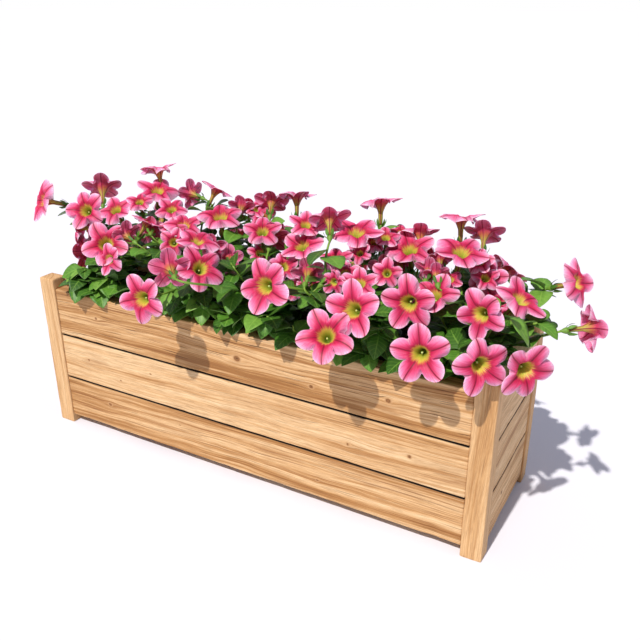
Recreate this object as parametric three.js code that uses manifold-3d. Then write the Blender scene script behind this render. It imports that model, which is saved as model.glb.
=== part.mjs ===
import * as THREE from 'three';
import { mergeVertices } from 'three/addons/utils/BufferGeometryUtils.js';
import Module from 'manifold-3d';

const wasm = await Module();
wasm.setup();
const { Manifold, Mesh: SolidMesh } = wasm;

// Trough, in millimetres. X runs along it, Y from its front to its back, Z up.
const troughLength = 800;
const troughDepth = 238;
const postHeight = 278;
const postWidth = 31;
const postDepth = 28;
const edgeEase = 1.5;
const faceSetback = 2.4;
const plankThickness = 24.5;
const plankFoot = 16.5;
const plankHeights = [77, 80, 82];
const plankNames = ['lower', 'middle', 'upper'];
const plankGap = 2.5;
const fitGap = 0.3;

// Floor of the trough: one board with drain holes, nailed between the end planks.
const floorFoot = 20;
const floorThickness = 16;
const drainRadius = 6;
const drainSpacing = 220;
const drainSides = 8;

// Compost.
const soilLevel = 232;
const soilRelief = 3.5;
const soilColumns = 16;
const soilRows = 4;
const crownHoleDepth = 30;

// Petunia bloom: shares of the limb's radius, heights along its axis from the rim's plane.
const petalCount = 5;
const petalThickness = 1.1;
const petalTipReach = 1;
const petalShoulderReach = 0.9;
const petalShoulderAngle = 21;
const petalShoulderDrop = 0.03;
const petalNotchReach = 0.53;
const petalNotchDrop = 0.03;
const keelReach = 0.6;
const keelDrop = 0.015;
const valleyReach = 0.37;
const valleyDrop = 0.1;
const throatFloor = 0.55;
const tubeShoulderReach = 0.21;
const tubeShoulderDrop = 0.42;
const tubeEndReach = 0.08;
const tubeLength = 1.15;
const plainNotchReach = 0.6;
const plainNotchDrop = 0.06;
const plainThroat = 0.22;
const plainWaistReach = 0.3;
const plainWaistDrop = 0.3;
const plainTube = 0.9;

// Calyx with its five sepals, in millimetres from the end of the tube.
const calyxRadius = 3.5;
const calyxDepth = 8;
const calyxRootRadius = 4.4;
const calyxRootDrop = 2.2;
const sepalTipRadius = 10;
const sepalTipRise = 9;

// Stems, and the crowns that they grow from.
const stemSides = 3;
const sliverSize = 0.25;
const stemTopRadius = 1.5;
const stemRootRadius = 2.1;
const flowerStemSteps = 4;
const shootSteps = 3;
const crownRadius = 10;
const crownSides = 8;
const crownHeight = 16;
const crownSpread = 7.5;
const crownReach = 22;
const crownClearance = 0.3;
const crownFootGap = 8;
const stemFootRise = 5;
const stemFootSpread = 8;

// Room kept round a stem, and how its bends are tried: shares of the span from bloom to crown.
const stemClearance = 1.5;
const stemMargin = 25;
const stemSlack = 5;
const stemSpacing = 4;
const stemTries = 500;
const strictTries = 350;
const confinedTries = 450;
const shortestPull = 0.22;
const pullSpread = 0.25;
const lowestLift = 0.2;
const liftSpread = 0.3;
const widestBend = 1.1;
const upperBendShare = 0.4;
const lowerBendRise = 0.3;
const shootDroop = 0.5;
const plantingSeed = 20261;

// Leaves.
const leafThickness = 1;
const leafWidthShare = 0.54;
const leafFold = 0.09;
const leafDroop = 0.12;
const leafMiddle = [0.5, 0, 0.02];
const leafTaper = 0.6;
const smallestLeaf = 36;
const leafSpread = 14;
const leafClearance = 5.2;
const leafReach = 5;
const leafTries = 10;
const leafSink = 3;
const leafRise = 0.15;
const leafRiseSpread = 0.35;
const leafLean = 0.4;
const sideLeaves = 2;

// Where side leaves stand along a stem, as shares of its length from its top.
const flowerLeafShare = 0.25;
const flowerLeafSpread = 0.35;
const shootLeafShare = 0.16;
const shootLeafRun = 0.6;
const shootLeafSpread = 0.1;

// Colours.
const pineColor = 0xd9a566;
const shadedPineColor = 0xb98a55;
const soilColor = 0x3a2a20;
const petalColor = 0xf0709c;
const foliageColor = 0x4a7f2c;

// Half of a leaf's width, as a share of its length, at its two edge stations.
const leafStations = [[0.3, 0.5 * leafWidthShare], [0.66, 0.38 * leafWidthShare]];

const degree = Math.PI / 180;
const halfLength = troughLength / 2;
const halfDepth = troughDepth / 2;
const plankFace = halfDepth - faceSetback;
const plankInside = plankFace - plankThickness;
const endInside = halfLength - faceSetback - plankThickness;
const floorTop = floorFoot + floorThickness;

// Where each plant's crown stands in the compost: x, y.
const crowns = [
  [-335, -52],
  [-170, 5],
  [-5, -25],
  [160, 10],
  [325, -20],
];

// Blooms by node: x, y, z of the rim's centre, limb radius, heading, tilt and spin in degrees.
const bloomGroups = {
  bloom_01: [[-441, -60, 395, 40, -118, 20, 39]],
  bloom_02: [[-409, 60, 399, 38, 130, 40, 0]],
  bloom_group_03: [[-356, -60, 314, 37, -160, -5, 0]],
  bloom_04: [[-330, 135, 335, 36, 100, 30, 0]],
  bloom_group_05: [
    [-323, -72, 396, 37, -75, 34, 48],
    [-277, -49, 399, 32, -74, 59, 42],
    [-246, 25, 421, 39, -38, 74, 25],
    [-269, 55, 449, 35, 156, 74, 0],
  ],
  bloom_group_07: [
    [-206, -50, 389, 27, 58, 58, 0],
    [-154, -25, 385, 34, -45, 70, 0],
  ],
  bloom_group_08: [
    [-240, -115, 363, 40, -52, 36, 39],
    [-225, -130, 342, 27, -91, 19, 45],
  ],
  bloom_08: [[-218, 75, 403, 28, 165, 5, 6]],
  bloom_09: [[-199, 0, 398, 29, -60, 62, 30]],
  bloom_10: [[-171, 160, 325, 39, 100, 66, 15]],
  bloom_12: [[-136, 45, 430, 30, 66, 58, 0]],
  bloom_13: [[-87, -215, 331, 39, -85, 12, 41]],
  bloom_group_14: [
    [-49, 75, 412, 31, 115, 30, 0],
    [0, 72, 430, 34, 119, 70, 48],
  ],
  bloom_14a: [[-100, 0, 401, 40, -64, 72, 59]],
  bloom_15: [[-70, 140, 345, 36, 95, 45, 0]],
  bloom_group_16: [
    [-43, -60, 353, 23, 10, 15, 0],
    [-63, -106, 394, 34, -10, 75, 0],
    [-33, -140, 366, 38, -35, 39, 55],
    [-70, -166, 365, 32, 140, 0, 0],
  ],
  bloom_group_18: [[1, 0, 378, 30, 110, 15, 0]],
  bloom_19: [[75, 165, 312, 38, 80, 18, 30]],
  bloom_20: [[93, -178, 372, 41, -92, 19, 39]],
  bloom_group_21: [
    [83, -59, 396, 35, -97, 62, 65],
    [115, -34, 434, 32, 120, 35, 0],
    [152, -20, 417, 41, -60, 76, 35],
    [105, -74, 363, 27, 110, 15, 12],
  ],
  bloom_23: [[156, 50, 445, 34, 118, 71, 0]],
  bloom_group_24: [
    [197, -196, 334, 40, -73, 44, 38],
    [217, -169, 361, 40, -94, 25, 57],
  ],
  bloom_25: [[205, 140, 340, 36, 95, 38, 0]],
  bloom_group_26: [
    [140, -60, 386, 26, -65, 75, 0],
    [198, -101, 373, 27, -60, 60, 0],
    [226, -80, 383, 22, -75, 35, 0],
  ],
  bloom_group_27: [
    [219, 15, 392, 39, -83, 68, 43],
    [218, 55, 406, 31, 115, 55, 0],
  ],
  bloom_group_28: [
    [275, -125, 363, 38, -84, 8, 63],
    [295, -89, 371, 36, -103, 60, 1],
  ],
  bloom_group_29: [
    [281, 45, 439, 35, 119, 75, 0],
    [314, 53, 419, 31, 105, 45, 12],
  ],
  bloom_30: [[310, -30, 416, 40, -52, 71, 44]],
  bloom_31: [[317, -186, 328, 39, -82, 12, 63]],
  bloom_32: [[335, 130, 345, 35, 60, 35, 10]],
  bloom_group_33: [
    [341, -5, 374, 29, -60, 35, 20],
    [356, -20, 340, 34, -59, 24, 58],
  ],
  bloom_group_34: [
    [387, -156, 316, 39, -47, 4, 59],
    [432, -117, 302, 41, -45, -1, 26],
  ],
  bloom_34a: [[370, -141, 373, 35, -105, 1, 34]],
  bloom_35: [[403, -60, 376, 38, -9, 56, 39]],
  bloom_36: [[459, 10, 383, 35, -8, 25, 40]],
  bloom_37: [[491, -35, 344, 32, 32, 6, 0]],
};

// Blooms that stand behind those and touch them, in the same seven values; they have no stems of their own.
const rearBlooms = {
  bloom_group_03: [
    [-364, -53, 355, 28, -150, 10, 0],
    [-359, -37, 342, 29, -120, 0, 0],
  ],
  bloom_group_05: [[-246, -23, 409, 24, -60, 60, 0]],
  bloom_group_07: [
    [-212, -39, 367, 25, 130, -5, 0],
    [-168, -38, 375, 25, -60, 50, 0],
    [-149, -61, 363, 26, -60, 30, 25],
  ],
  bloom_group_08: [[-231, -80, 368, 26, 160, 10, 0]],
  bloom_group_14: [
    [-72, 62, 399, 22, -40, 60, 30],
    [-90, 50, 405, 25, 105, 35, 0],
    [-91, 75, 396, 26, 110, 40, 0],
    [-58, 57, 390, 25, -60, 60, 0],
  ],
  bloom_group_16: [
    [-43, -60, 351, 25, 130, -10, 0],
    [-61, -76, 374, 23, 120, 10, 0],
    [-65, -59, 369, 25, -20, 60, 0],
  ],
  bloom_group_18: [
    [-18, -12, 353, 22, -50, 50, 0],
    [-2, -28, 396, 32, -60, 60, 0],
  ],
  bloom_group_21: [
    [74, -88, 369, 24, -40, 40, 0],
    [81, -40, 421, 27, -50, 65, 15],
    [85, -74, 332, 22, -70, 20, 0],
    [108, -79, 341, 20, -60, 20, 0],
  ],
  bloom_group_26: [
    [164, -79, 373, 21, -60, 50, 0],
    [161, -67, 368, 21, -60, 50, 0],
    [162, -100, 377, 20, 45, 35, 0],
    [164, -115, 369, 19, -90, 10, 0],
    [167, -41, 390, 18, -80, 45, 40],
  ],
  bloom_group_27: [
    [201, 21, 360, 21, 130, 20, 0],
    [181, 7, 357, 24, 130, 10, 0],
    [183, 13, 402, 23, -60, 65, 0],
    [166, 10, 393, 20, -60, 60, 0],
    [264, 16, 381, 20, 120, 30, 0],
    [188, 57, 397, 23, -60, 60, 0],
  ],
  bloom_group_28: [
    [302, -44, 377, 19, -60, 55, 50],
    [283, -52, 384, 20, 120, 20, 0],
    [271, -41, 384, 21, 100, 20, 0],
  ],
  bloom_group_33: [
    [330, -13, 397, 21, -80, 40, 0],
    [383, -28, 333, 21, -70, 20, 0],
    [341, -14, 376, 22, -50, 50, 0],
  ],
};

// Leafy shoots: where the last leaf starts, then where its point reaches.
const shoots = [
  [-262, -98, 294, -238, -124, 273],
  [-97, -108, 304, -66, -116, 283],
  [-54, -106, 299, -32, -114, 276],
  [28, -106, 296, -4, -116, 270],
  [52, -104, 292, 58, -126, 273],
  [152, -100, 322, 130, -122, 306],
  [216, -106, 318, 226, -116, 283],
  [236, -108, 316, 262, -118, 309],
  [307, -116, 308, 345, -116, 299],
  [425, -72, 349, 454, -81, 339],
  [398, -111, 367, 431, -110, 338],
  [-300, 100, 292, -322, 128, 278],
  [-150, 103, 299, -160, 138, 289],
  [-20, 105, 290, -15, 138, 272],
  [110, 105, 300, 125, 140, 290],
  [250, 105, 292, 262, 138, 274],
  [350, 95, 320, 382, 112, 305],
  [-372, -10, 300, -406, -22, 290],
  [-360, 40, 320, -394, 62, 312],
  [-318, -96, 302, -332, -126, 288],
  [392, 30, 322, 428, 42, 308],
];

// A seeded draw from 0 to 1 that gives the same run of values every time.
function seededDraw(seed) {
  let state = seed;
  return () => {
    state = (state * 1664525 + 1013904223) % 4294967296;
    return state / 4294967296;
  };
}

function vector(x, y, z) {
  return new THREE.Vector3(x, y, z);
}

function direction(heading, tilt) {
  const flat = Math.cos(tilt * degree);
  const turned = heading * degree;
  return vector(flat * Math.cos(turned), flat * Math.sin(turned), Math.sin(tilt * degree));
}

// Points and faces of one closed skin, built ring after ring.
function newSkin() {
  const points = [];
  const faces = [];
  const next = (ring, i) => ring[(i + 1) % ring.length];
  const add = (list) => list.map((point) => points.push(point) - 1);
  const openingFan = (centre, ring) => {
    ring.forEach((corner, i) => faces.push([centre, corner, next(ring, i)]));
  };
  const openingCap = (ring) => {
    for (let i = 1; i + 1 < ring.length; i += 1) {
      faces.push([ring[0], ring[i], ring[i + 1]]);
    }
  };
  const closingCap = (ring) => {
    for (let i = 1; i + 1 < ring.length; i += 1) {
      faces.push([ring[0], ring[i + 1], ring[i]]);
    }
  };
  // Joins two rings of any counts that start at the same angle.
  const bridge = (from, to) => {
    let i = 0;
    let j = 0;
    while (i < from.length || j < to.length) {
      const corner = from[i % from.length];
      const partner = to[j % to.length];
      if ((i + 0.5) / from.length < (j + 0.5) / to.length) {
        faces.push([corner, partner, next(from, i)]);
        i += 1;
      } else {
        faces.push([corner, partner, next(to, j)]);
        j += 1;
      }
    }
  };
  const solid = () => skinToSolid(points, faces);
  return { faces, add, openingFan, openingCap, closingCap, bridge, solid };
}

function signedVolume(points, faces) {
  return faces.reduce((sum, [a, b, c]) => {
    const cross = points[b].clone().cross(points[c]);
    return sum + points[a].dot(cross) / 6;
  }, 0);
}

function skinToSolid(points, faces) {
  const outward = signedVolume(points, faces) > 0;
  const corners = faces.flatMap(([a, b, c]) => (outward ? [a, b, c] : [a, c, b]));
  const mesh = new SolidMesh({
    numProp: 3,
    vertProperties: new Float32Array(points.flatMap((point) => point.toArray())),
    triVerts: new Uint32Array(corners),
  });
  return new Manifold(mesh);
}

function geometryToSolid(geometry) {
  geometry.deleteAttribute('normal');
  geometry.deleteAttribute('uv');
  const merged = mergeVertices(geometry, 1e-4);
  const mesh = new SolidMesh({
    numProp: 3,
    vertProperties: new Float32Array(merged.attributes.position.array),
    triVerts: new Uint32Array(merged.index.array),
  });
  return new Manifold(mesh);
}

// The outer skin of the largest body: loose scraps go and sealed hollows are filled.
function largestBody(solid) {
  const bodies = solid.decompose();
  return bodies.reduce((best, body) => (body.volume() > best.volume() ? body : best));
}

// Joins solids into one body; the second pass drops what hangs on by less than the stored precision.
function fuse(solids) {
  const joined = largestBody(Manifold.union(solids));
  return largestBody(new Manifold(joined.getMesh()));
}

function nodeFrom(name, solid, material) {
  const mesh = solid.getMesh();
  const geometry = new THREE.BufferGeometry();
  geometry.setAttribute('position', new THREE.BufferAttribute(new Float32Array(mesh.vertProperties), 3));
  geometry.setIndex(new THREE.BufferAttribute(new Uint32Array(mesh.triVerts), 1));
  geometry.computeVertexNormals();
  const node = new THREE.Mesh(geometry, material);
  node.name = name;
  return node;
}

// A board between two corners with its long edges eased, along the axis named.
function board(low, high, axis) {
  const order = { x: ['y', 'z', 'x'], y: ['z', 'x', 'y'], z: ['x', 'y', 'z'] }[axis];
  const [a, b, c] = order;
  const shape = new THREE.Shape();
  shape.moveTo(low[a] + edgeEase, low[b]);
  shape.lineTo(high[a] - edgeEase, low[b]);
  shape.lineTo(high[a], low[b] + edgeEase);
  shape.lineTo(high[a], high[b] - edgeEase);
  shape.lineTo(high[a] - edgeEase, high[b]);
  shape.lineTo(low[a] + edgeEase, high[b]);
  shape.lineTo(low[a], high[b] - edgeEase);
  shape.lineTo(low[a], low[b] + edgeEase);
  const geometry = new THREE.ExtrudeGeometry(shape, { depth: high[c] - low[c], bevelEnabled: false });
  geometry.translate(0, 0, low[c]);
  const turns = {
    x: [0, 0, 1, 1, 0, 0, 0, 1, 0],
    y: [0, 1, 0, 0, 0, 1, 1, 0, 0],
    z: [1, 0, 0, 0, 1, 0, 0, 0, 1],
  };
  const m = turns[axis];
  geometry.applyMatrix4(new THREE.Matrix4().set(
    m[0], m[1], m[2], 0,
    m[3], m[4], m[5], 0,
    m[6], m[7], m[8], 0,
    0, 0, 0, 1,
  ));
  return geometryToSolid(geometry);
}

function postCorners() {
  const corners = [];
  for (const [end, x] of [['left', -1], ['right', 1]]) {
    for (const [side, y] of [['front', -1], ['back', 1]]) {
      const outer = vector(x * halfLength, y * halfDepth, 0);
      const inner = vector(x * (halfLength - postWidth), y * (halfDepth - postDepth), postHeight);
      corners.push({
        name: `post_${side}_${end}`,
        low: outer.clone().min(inner),
        high: outer.clone().max(inner),
      });
    }
  }
  return corners;
}

function plankCorners() {
  const longEnd = halfLength - postWidth - fitGap;
  const shortEnd = halfDepth - postDepth - fitGap;
  const endFace = halfLength - faceSetback;
  const planks = [];
  let foot = plankFoot;
  plankHeights.forEach((height, i) => {
    const top = foot + height;
    const add = (side, axis, x0, y0, x1, y1) => {
      planks.push({
        name: `plank_${side}_${plankNames[i]}`,
        axis,
        low: vector(x0, y0, foot),
        high: vector(x1, y1, top),
      });
    };
    add('front', 'x', -longEnd, -plankFace, longEnd, -plankInside);
    add('back', 'x', -longEnd, plankInside, longEnd, plankFace);
    add('left', 'y', -endFace, -shortEnd, -endInside, shortEnd);
    add('right', 'y', endInside, -shortEnd, endFace, shortEnd);
    foot = top + plankGap;
  });
  return planks;
}

function trough(material) {
  const posts = postCorners().map(({ name, low, high }) => nodeFrom(name, board(low, high, 'z'), material));
  const planks = plankCorners().map(({ name, axis, low, high }) => (
    nodeFrom(name, board(low, high, axis), material)
  ));
  return [...posts, ...planks];
}

function troughFloor(material) {
  const boardEnd = endInside - fitGap;
  const boardSide = halfDepth - postDepth - fitGap;
  let sheet = board(vector(-boardEnd, -boardSide, floorFoot), vector(boardEnd, boardSide, floorTop), 'x');
  for (let x = -drainSpacing; x <= drainSpacing; x += drainSpacing) {
    const hole = new THREE.CylinderGeometry(drainRadius, drainRadius, 3 * floorThickness, drainSides);
    hole.rotateX(Math.PI / 2);
    hole.translate(x, 0, floorFoot);
    sheet = sheet.subtract(geometryToSolid(hole));
  }
  return nodeFrom('floor_board', sheet, material);
}

function soilHeight(x, y) {
  const long = Math.sin(x / 47) * Math.cos(y / 31 + x / 90);
  const short = Math.sin(x / 19 + y / 23) * 0.45;
  return soilLevel + soilRelief * (long + short);
}

function crownPlug(x, y, radius, low, high) {
  const plug = new THREE.CylinderGeometry(radius, radius, high - low, crownSides);
  plug.rotateX(Math.PI / 2);
  plug.translate(x, y, (low + high) / 2);
  return geometryToSolid(plug);
}

// The compost: an uneven top on straight sides, notched round the posts, a hole for each crown.
function soil(material) {
  const skin = newSkin();
  const endX = endInside - fitGap;
  const endY = plankInside - fitGap;
  const top = [];
  for (let i = 0; i <= soilColumns; i += 1) {
    const x = -endX + (2 * endX * i) / soilColumns;
    const row = [];
    for (let j = 0; j <= soilRows; j += 1) {
      const y = -endY + (2 * endY * j) / soilRows;
      row.push(vector(x, y, soilHeight(x, y)));
    }
    top.push(skin.add(row));
  }
  for (let i = 0; i < soilColumns; i += 1) {
    for (let j = 0; j < soilRows; j += 1) {
      skin.faces.push([top[i][j], top[i + 1][j], top[i + 1][j + 1]]);
      skin.faces.push([top[i][j], top[i + 1][j + 1], top[i][j + 1]]);
    }
  }
  const foot = floorTop + fitGap;
  const rim = [];
  for (let i = 0; i < soilColumns; i += 1) rim.push([i, 0]);
  for (let j = 0; j < soilRows; j += 1) rim.push([soilColumns, j]);
  for (let i = soilColumns; i > 0; i -= 1) rim.push([i, soilRows]);
  for (let j = soilRows; j > 0; j -= 1) rim.push([0, j]);
  const upper = rim.map(([i, j]) => top[i][j]);
  const lower = skin.add(rim.map(([i, j]) => {
    const x = -endX + (2 * endX * i) / soilColumns;
    const y = -endY + (2 * endY * j) / soilRows;
    return vector(x, y, foot);
  }));
  const centre = skin.add([vector(0, 0, foot)])[0];
  upper.forEach((corner, i) => {
    const after = (i + 1) % upper.length;
    skin.faces.push([corner, lower[i], lower[after]]);
    skin.faces.push([corner, lower[after], upper[after]]);
    skin.faces.push([lower[i], centre, lower[after]]);
  });
  let bed = skin.solid();
  for (const { low, high } of postCorners()) {
    const size = high.clone().sub(low).addScalar(2 * fitGap);
    const block = new THREE.BoxGeometry(size.x, size.y, size.z);
    block.translate((low.x + high.x) / 2, (low.y + high.y) / 2, (low.z + high.z) / 2);
    bed = bed.subtract(geometryToSolid(block));
  }
  for (const [x, y] of crowns) {
    const radius = crownRadius + crownClearance / Math.cos(Math.PI / crownSides);
    const hole = crownPlug(x, y, radius, soilLevel - crownHoleDepth, soilLevel + crownHoleDepth);
    bed = bed.subtract(hole);
  }
  return nodeFrom('soil', bed, material);
}

function bloomFrame([x, y, z, radius, heading, tilt, spin]) {
  const axis = direction(heading, tilt);
  const side = direction(heading + 90, 0);
  const up = axis.clone().cross(side);
  return { centre: vector(x, y, z), axis, side, up, radius, spin };
}

// A ring round a bloom's axis: angles in degrees from its uppermost petal, reaches and heights in mm.
function bloomRing(frame, angles, reaches, heights) {
  return angles.map((angle, i) => {
    const turned = (angle + frame.spin) * degree;
    return frame.centre.clone()
      .addScaledVector(frame.up, Math.cos(turned) * reaches[i])
      .addScaledVector(frame.side, Math.sin(turned) * reaches[i])
      .addScaledVector(frame.axis, heights[i]);
  });
}

// The same few values for every petal, repeated round the bloom.
function roundPetals(angles, reaches, heights) {
  const step = 360 / petalCount;
  const rings = { angles: [], reaches: [], heights: [] };
  for (let petal = 0; petal < petalCount; petal += 1) {
    angles.forEach((angle, i) => {
      rings.angles.push(angle + petal * step);
      rings.reaches.push(reaches[i]);
      rings.heights.push(heights[i]);
    });
  }
  return rings;
}

function bloom(values) {
  const frame = bloomFrame(values);
  const { radius } = frame;
  const halfStep = 180 / petalCount;
  const skin = newSkin();
  const ring = (angles, reaches, drops, behind = 0) => {
    const round = roundPetals(
      angles,
      reaches.map((reach) => reach * radius),
      drops.map((drop) => -drop * radius - behind),
    );
    return skin.add(bloomRing(frame, round.angles, round.reaches, round.heights));
  };
  const edgeAngles = [0, petalShoulderAngle, halfStep, 2 * halfStep - petalShoulderAngle];
  const edgeReaches = [petalTipReach, petalShoulderReach, petalNotchReach, petalShoulderReach];
  const edgeDrops = [0, petalShoulderDrop, petalNotchDrop, petalShoulderDrop];
  const limbAngles = [0, halfStep];
  const limbReaches = [keelReach, valleyReach];
  const limbDrops = [keelDrop, valleyDrop];
  const bottom = skin.add([frame.centre.clone().addScaledVector(frame.axis, -throatFloor * radius)])[0];
  const limb = ring(limbAngles, limbReaches, limbDrops);
  const edge = ring(edgeAngles, edgeReaches, edgeDrops);
  const backLimb = ring(limbAngles, limbReaches, limbDrops, petalThickness);
  const tubeShoulder = ring([0], [tubeShoulderReach], [tubeShoulderDrop]);
  const tubeEnd = ring([0], [tubeEndReach], [tubeLength]);
  skin.openingFan(bottom, limb);
  skin.bridge(limb, edge);
  skin.bridge(edge, backLimb);
  skin.bridge(backLimb, tubeShoulder);
  skin.bridge(tubeShoulder, tubeEnd);
  skin.closingCap(tubeEnd);
  return skin.solid();
}

// A bloom that shows only between others: sharp petals without shoulders on a short plain tube.
function plainBloom(values) {
  const frame = bloomFrame(values);
  const { radius } = frame;
  const halfStep = 180 / petalCount;
  const skin = newSkin();
  const ring = (angles, reaches, drops) => {
    const round = roundPetals(
      angles,
      reaches.map((reach) => reach * radius),
      drops.map((drop) => -drop * radius),
    );
    return skin.add(bloomRing(frame, round.angles, round.reaches, round.heights));
  };
  const bottom = skin.add([frame.centre.clone().addScaledVector(frame.axis, -plainThroat * radius)])[0];
  const edge = ring([0, halfStep], [petalTipReach, plainNotchReach], [0, plainNotchDrop]);
  const waist = ring([halfStep], [plainWaistReach], [plainWaistDrop]);
  const tubeEnd = ring([halfStep], [tubeEndReach], [plainTube]);
  skin.openingFan(bottom, edge);
  skin.bridge(edge, waist);
  skin.bridge(waist, tubeEnd);
  skin.closingCap(tubeEnd);
  return skin.solid();
}

// How far a point is from a bloom, taken as round; negative inside its funnel.
function bloomClearance(frame, point) {
  const { radius } = frame;
  const offset = point.clone().sub(frame.centre);
  const height = offset.dot(frame.axis);
  const reach = Math.sqrt(Math.max(0, offset.lengthSq() - height * height));
  const outline = [
    [petalTipReach, 0],
    [keelReach, -keelDrop],
    [valleyReach, -valleyDrop],
    [tubeShoulderReach, -tubeShoulderDrop],
    [tubeEndReach, -tubeLength],
  ].map(([x, y]) => [x * radius, y * radius]);
  let nearest = Infinity;
  for (let i = 0; i + 1 < outline.length; i += 1) {
    const [x0, y0] = outline[i];
    const [x1, y1] = outline[i + 1];
    const onward = (reach - x0) * (x1 - x0) + (height - y0) * (y1 - y0);
    const t = Math.min(1, Math.max(0, onward / ((x1 - x0) ** 2 + (y1 - y0) ** 2)));
    nearest = Math.min(nearest, Math.hypot(reach - x0 - t * (x1 - x0), height - y0 - t * (y1 - y0)));
    const within = height < y0 && height > y1 && reach < x0 + ((height - y0) * (x1 - x0)) / (y1 - y0);
    if (within && i > 0) return -1;
  }
  return nearest - petalThickness;
}

// True where no point of a stem reaches farther out, or higher, than its own start and the box do.
function staysIn(samples, start) {
  const limitX = Math.max(Math.abs(start.x), halfLength - stemMargin) + stemSlack;
  const limitY = Math.max(Math.abs(start.y), halfDepth - stemMargin) + stemSlack;
  const limitZ = start.z + stemSlack;
  return samples.every(({ x, y, z }) => Math.abs(x) < limitX && Math.abs(y) < limitY && z < limitZ);
}

function boxClearance({ low, high }, point) {
  const outside = point.clone().clamp(low, high);
  return outside.distanceTo(point);
}

function stemRadius(t) {
  return stemTopRadius + (stemRootRadius - stemTopRadius) * t;
}

// Where a stem that comes from a point ends in its crown: on the near side, at a height of its own.
function crownPoint(plant, from, level) {
  const [x, y] = crowns[plant];
  const outward = vector(from.x - x, from.y - y, 0).normalize();
  const height = soilLevel + stemFootRise + stemFootSpread * level;
  return vector(x, y, height).addScaledVector(outward, crownSpread);
}

function nearestCrown(point) {
  let best = 0;
  crowns.forEach(([x], i) => {
    if (Math.abs(point.x - x) < Math.abs(point.x - crowns[best][0])) best = i;
  });
  return best;
}

// Points along a stem, close enough together that no petal fits between them.
function stemSamples(curve) {
  const count = Math.ceil(curve.getLength() / stemSpacing);
  const samples = [];
  for (let i = 0; i <= count; i += 1) {
    samples.push(curve.getPoint(i / count));
  }
  return samples;
}

function crownDistance(point, plant) {
  const [x, y] = crowns[plant];
  return point.distanceTo(vector(x, y, soilLevel + crownHeight / 2));
}

// True where a stem's samples keep off the blooms, the boards, the compost and the other plants.
function stemIsClear(samples, plant, ownBloom, garden, strict) {
  return samples.every((point, i) => {
    const radius = stemRootRadius + stemClearance;
    const soilTop = soilHeight(point.x, point.y) + radius + petalThickness;
    if (point.z < soilTop && crownDistance(point, plant) > crownRadius + stemRootRadius * 2) return false;
    if (garden.boxes.some((box) => boxClearance(box, point) < radius)) return false;
    const nearCrown = crownDistance(point, plant) < crownReach;
    const crossed = garden.taken.some((other) => {
      if (other.plant === plant && (nearCrown || !strict)) return false;
      return other.point.distanceTo(point) < radius + other.reach;
    });
    if (crossed) return false;
    return garden.blooms.every((frame) => {
      const atOwnTube = frame === ownBloom && i * stemSpacing < 2 * calyxDepth;
      return atOwnTube || bloomClearance(frame, point) > radius;
    });
  });
}

// The first route from start to the crown that is clear, tried with ever wider bends.
function routeStem(start, heading, plant, ownBloom, garden, draw) {
  const crown = crownPoint(plant, start, draw());
  const span = start.distanceTo(crown);
  for (let attempt = 0; attempt < stemTries; attempt += 1) {
    const spread = (attempt / stemTries) * widestBend * span;
    const pull = span * (shortestPull + pullSpread * draw());
    const lift = span * (lowestLift + liftSpread * draw());
    const bendA = vector(draw() - 0.5, draw() - 0.5, draw() - 0.5).multiplyScalar(spread);
    const bendB = vector(draw() - 0.5, draw() - 0.5, lowerBendRise * draw()).multiplyScalar(spread);
    const startPull = start.clone().addScaledVector(heading, pull).addScaledVector(bendA, upperBendShare);
    const endPull = crown.clone().add(vector(0, 0, lift)).add(bendB);
    const curve = new THREE.CubicBezierCurve3(start, startPull, endPull, crown);
    const samples = stemSamples(curve);
    const strict = attempt < strictTries;
    const inside = attempt > confinedTries || staysIn(samples, start);
    if (inside && stemIsClear(samples, plant, ownBloom, garden, strict)) return { curve, samples };
  }
  throw new Error(`no way to the crown from ${start.toArray()}`);
}

// Rings of a stem from its first point down to the crown, without twist.
function stemRings(skin, curve, steps, frame, turn) {
  const rings = [];
  const across = frame.up.clone();
  let before = frame.axis.clone().negate();
  for (let i = 0; i <= steps; i += 1) {
    const t = i / steps;
    const along = curve.getTangent(t);
    across.applyQuaternion(new THREE.Quaternion().setFromUnitVectors(before, along));
    before = along;
    const side = along.clone().cross(across).normalize();
    const centre = curve.getPoint(t);
    const ring = [];
    for (let k = 0; k < stemSides; k += 1) {
      const angle = (k / stemSides) * 2 * Math.PI + turn * degree;
      ring.push(centre.clone()
        .addScaledVector(across, Math.cos(angle) * stemRadius(t))
        .addScaledVector(side, Math.sin(angle) * stemRadius(t)));
    }
    rings.push(skin.add(ring));
  }
  for (let i = 0; i < steps; i += 1) {
    skin.bridge(rings[i], rings[i + 1]);
  }
  skin.closingCap(rings[steps]);
  return rings[0];
}

// A calyx with five pointed sepals that opens into its stem.
function flowerStem(frame, curve) {
  const skin = newSkin();
  const halfStep = 180 / petalCount;
  const base = { ...frame, spin: frame.spin + halfStep };
  const foot = -tubeLength * frame.radius - fitGap;
  const calyxRing = (angle, reach, height) => {
    const round = roundPetals([angle], [reach], [foot + height]);
    return skin.add(bloomRing(base, round.angles, round.reaches, round.heights));
  };
  const valleys = calyxRing(halfStep, calyxRadius, 0);
  const roots = calyxRing(0, calyxRootRadius, -calyxRootDrop);
  const tips = calyxRing(0, sepalTipRadius, sepalTipRise);
  skin.openingCap(valleys);
  const lower = [];
  tips.forEach((tip, i) => {
    const before = valleys[(i + petalCount - 1) % petalCount];
    skin.faces.push([before, tip, valleys[i]]);
    skin.faces.push([tip, before, roots[i]], [tip, roots[i], valleys[i]]);
    lower.push(roots[i], valleys[i]);
  });
  const neck = stemRings(skin, curve, flowerStemSteps, base, base.spin);
  skin.bridge(lower, neck);
  return skin.solid();
}

function shootStem(frame, curve) {
  const skin = newSkin();
  skin.openingCap(stemRings(skin, curve, shootSteps, frame, 0));
  return skin.solid();
}

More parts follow.
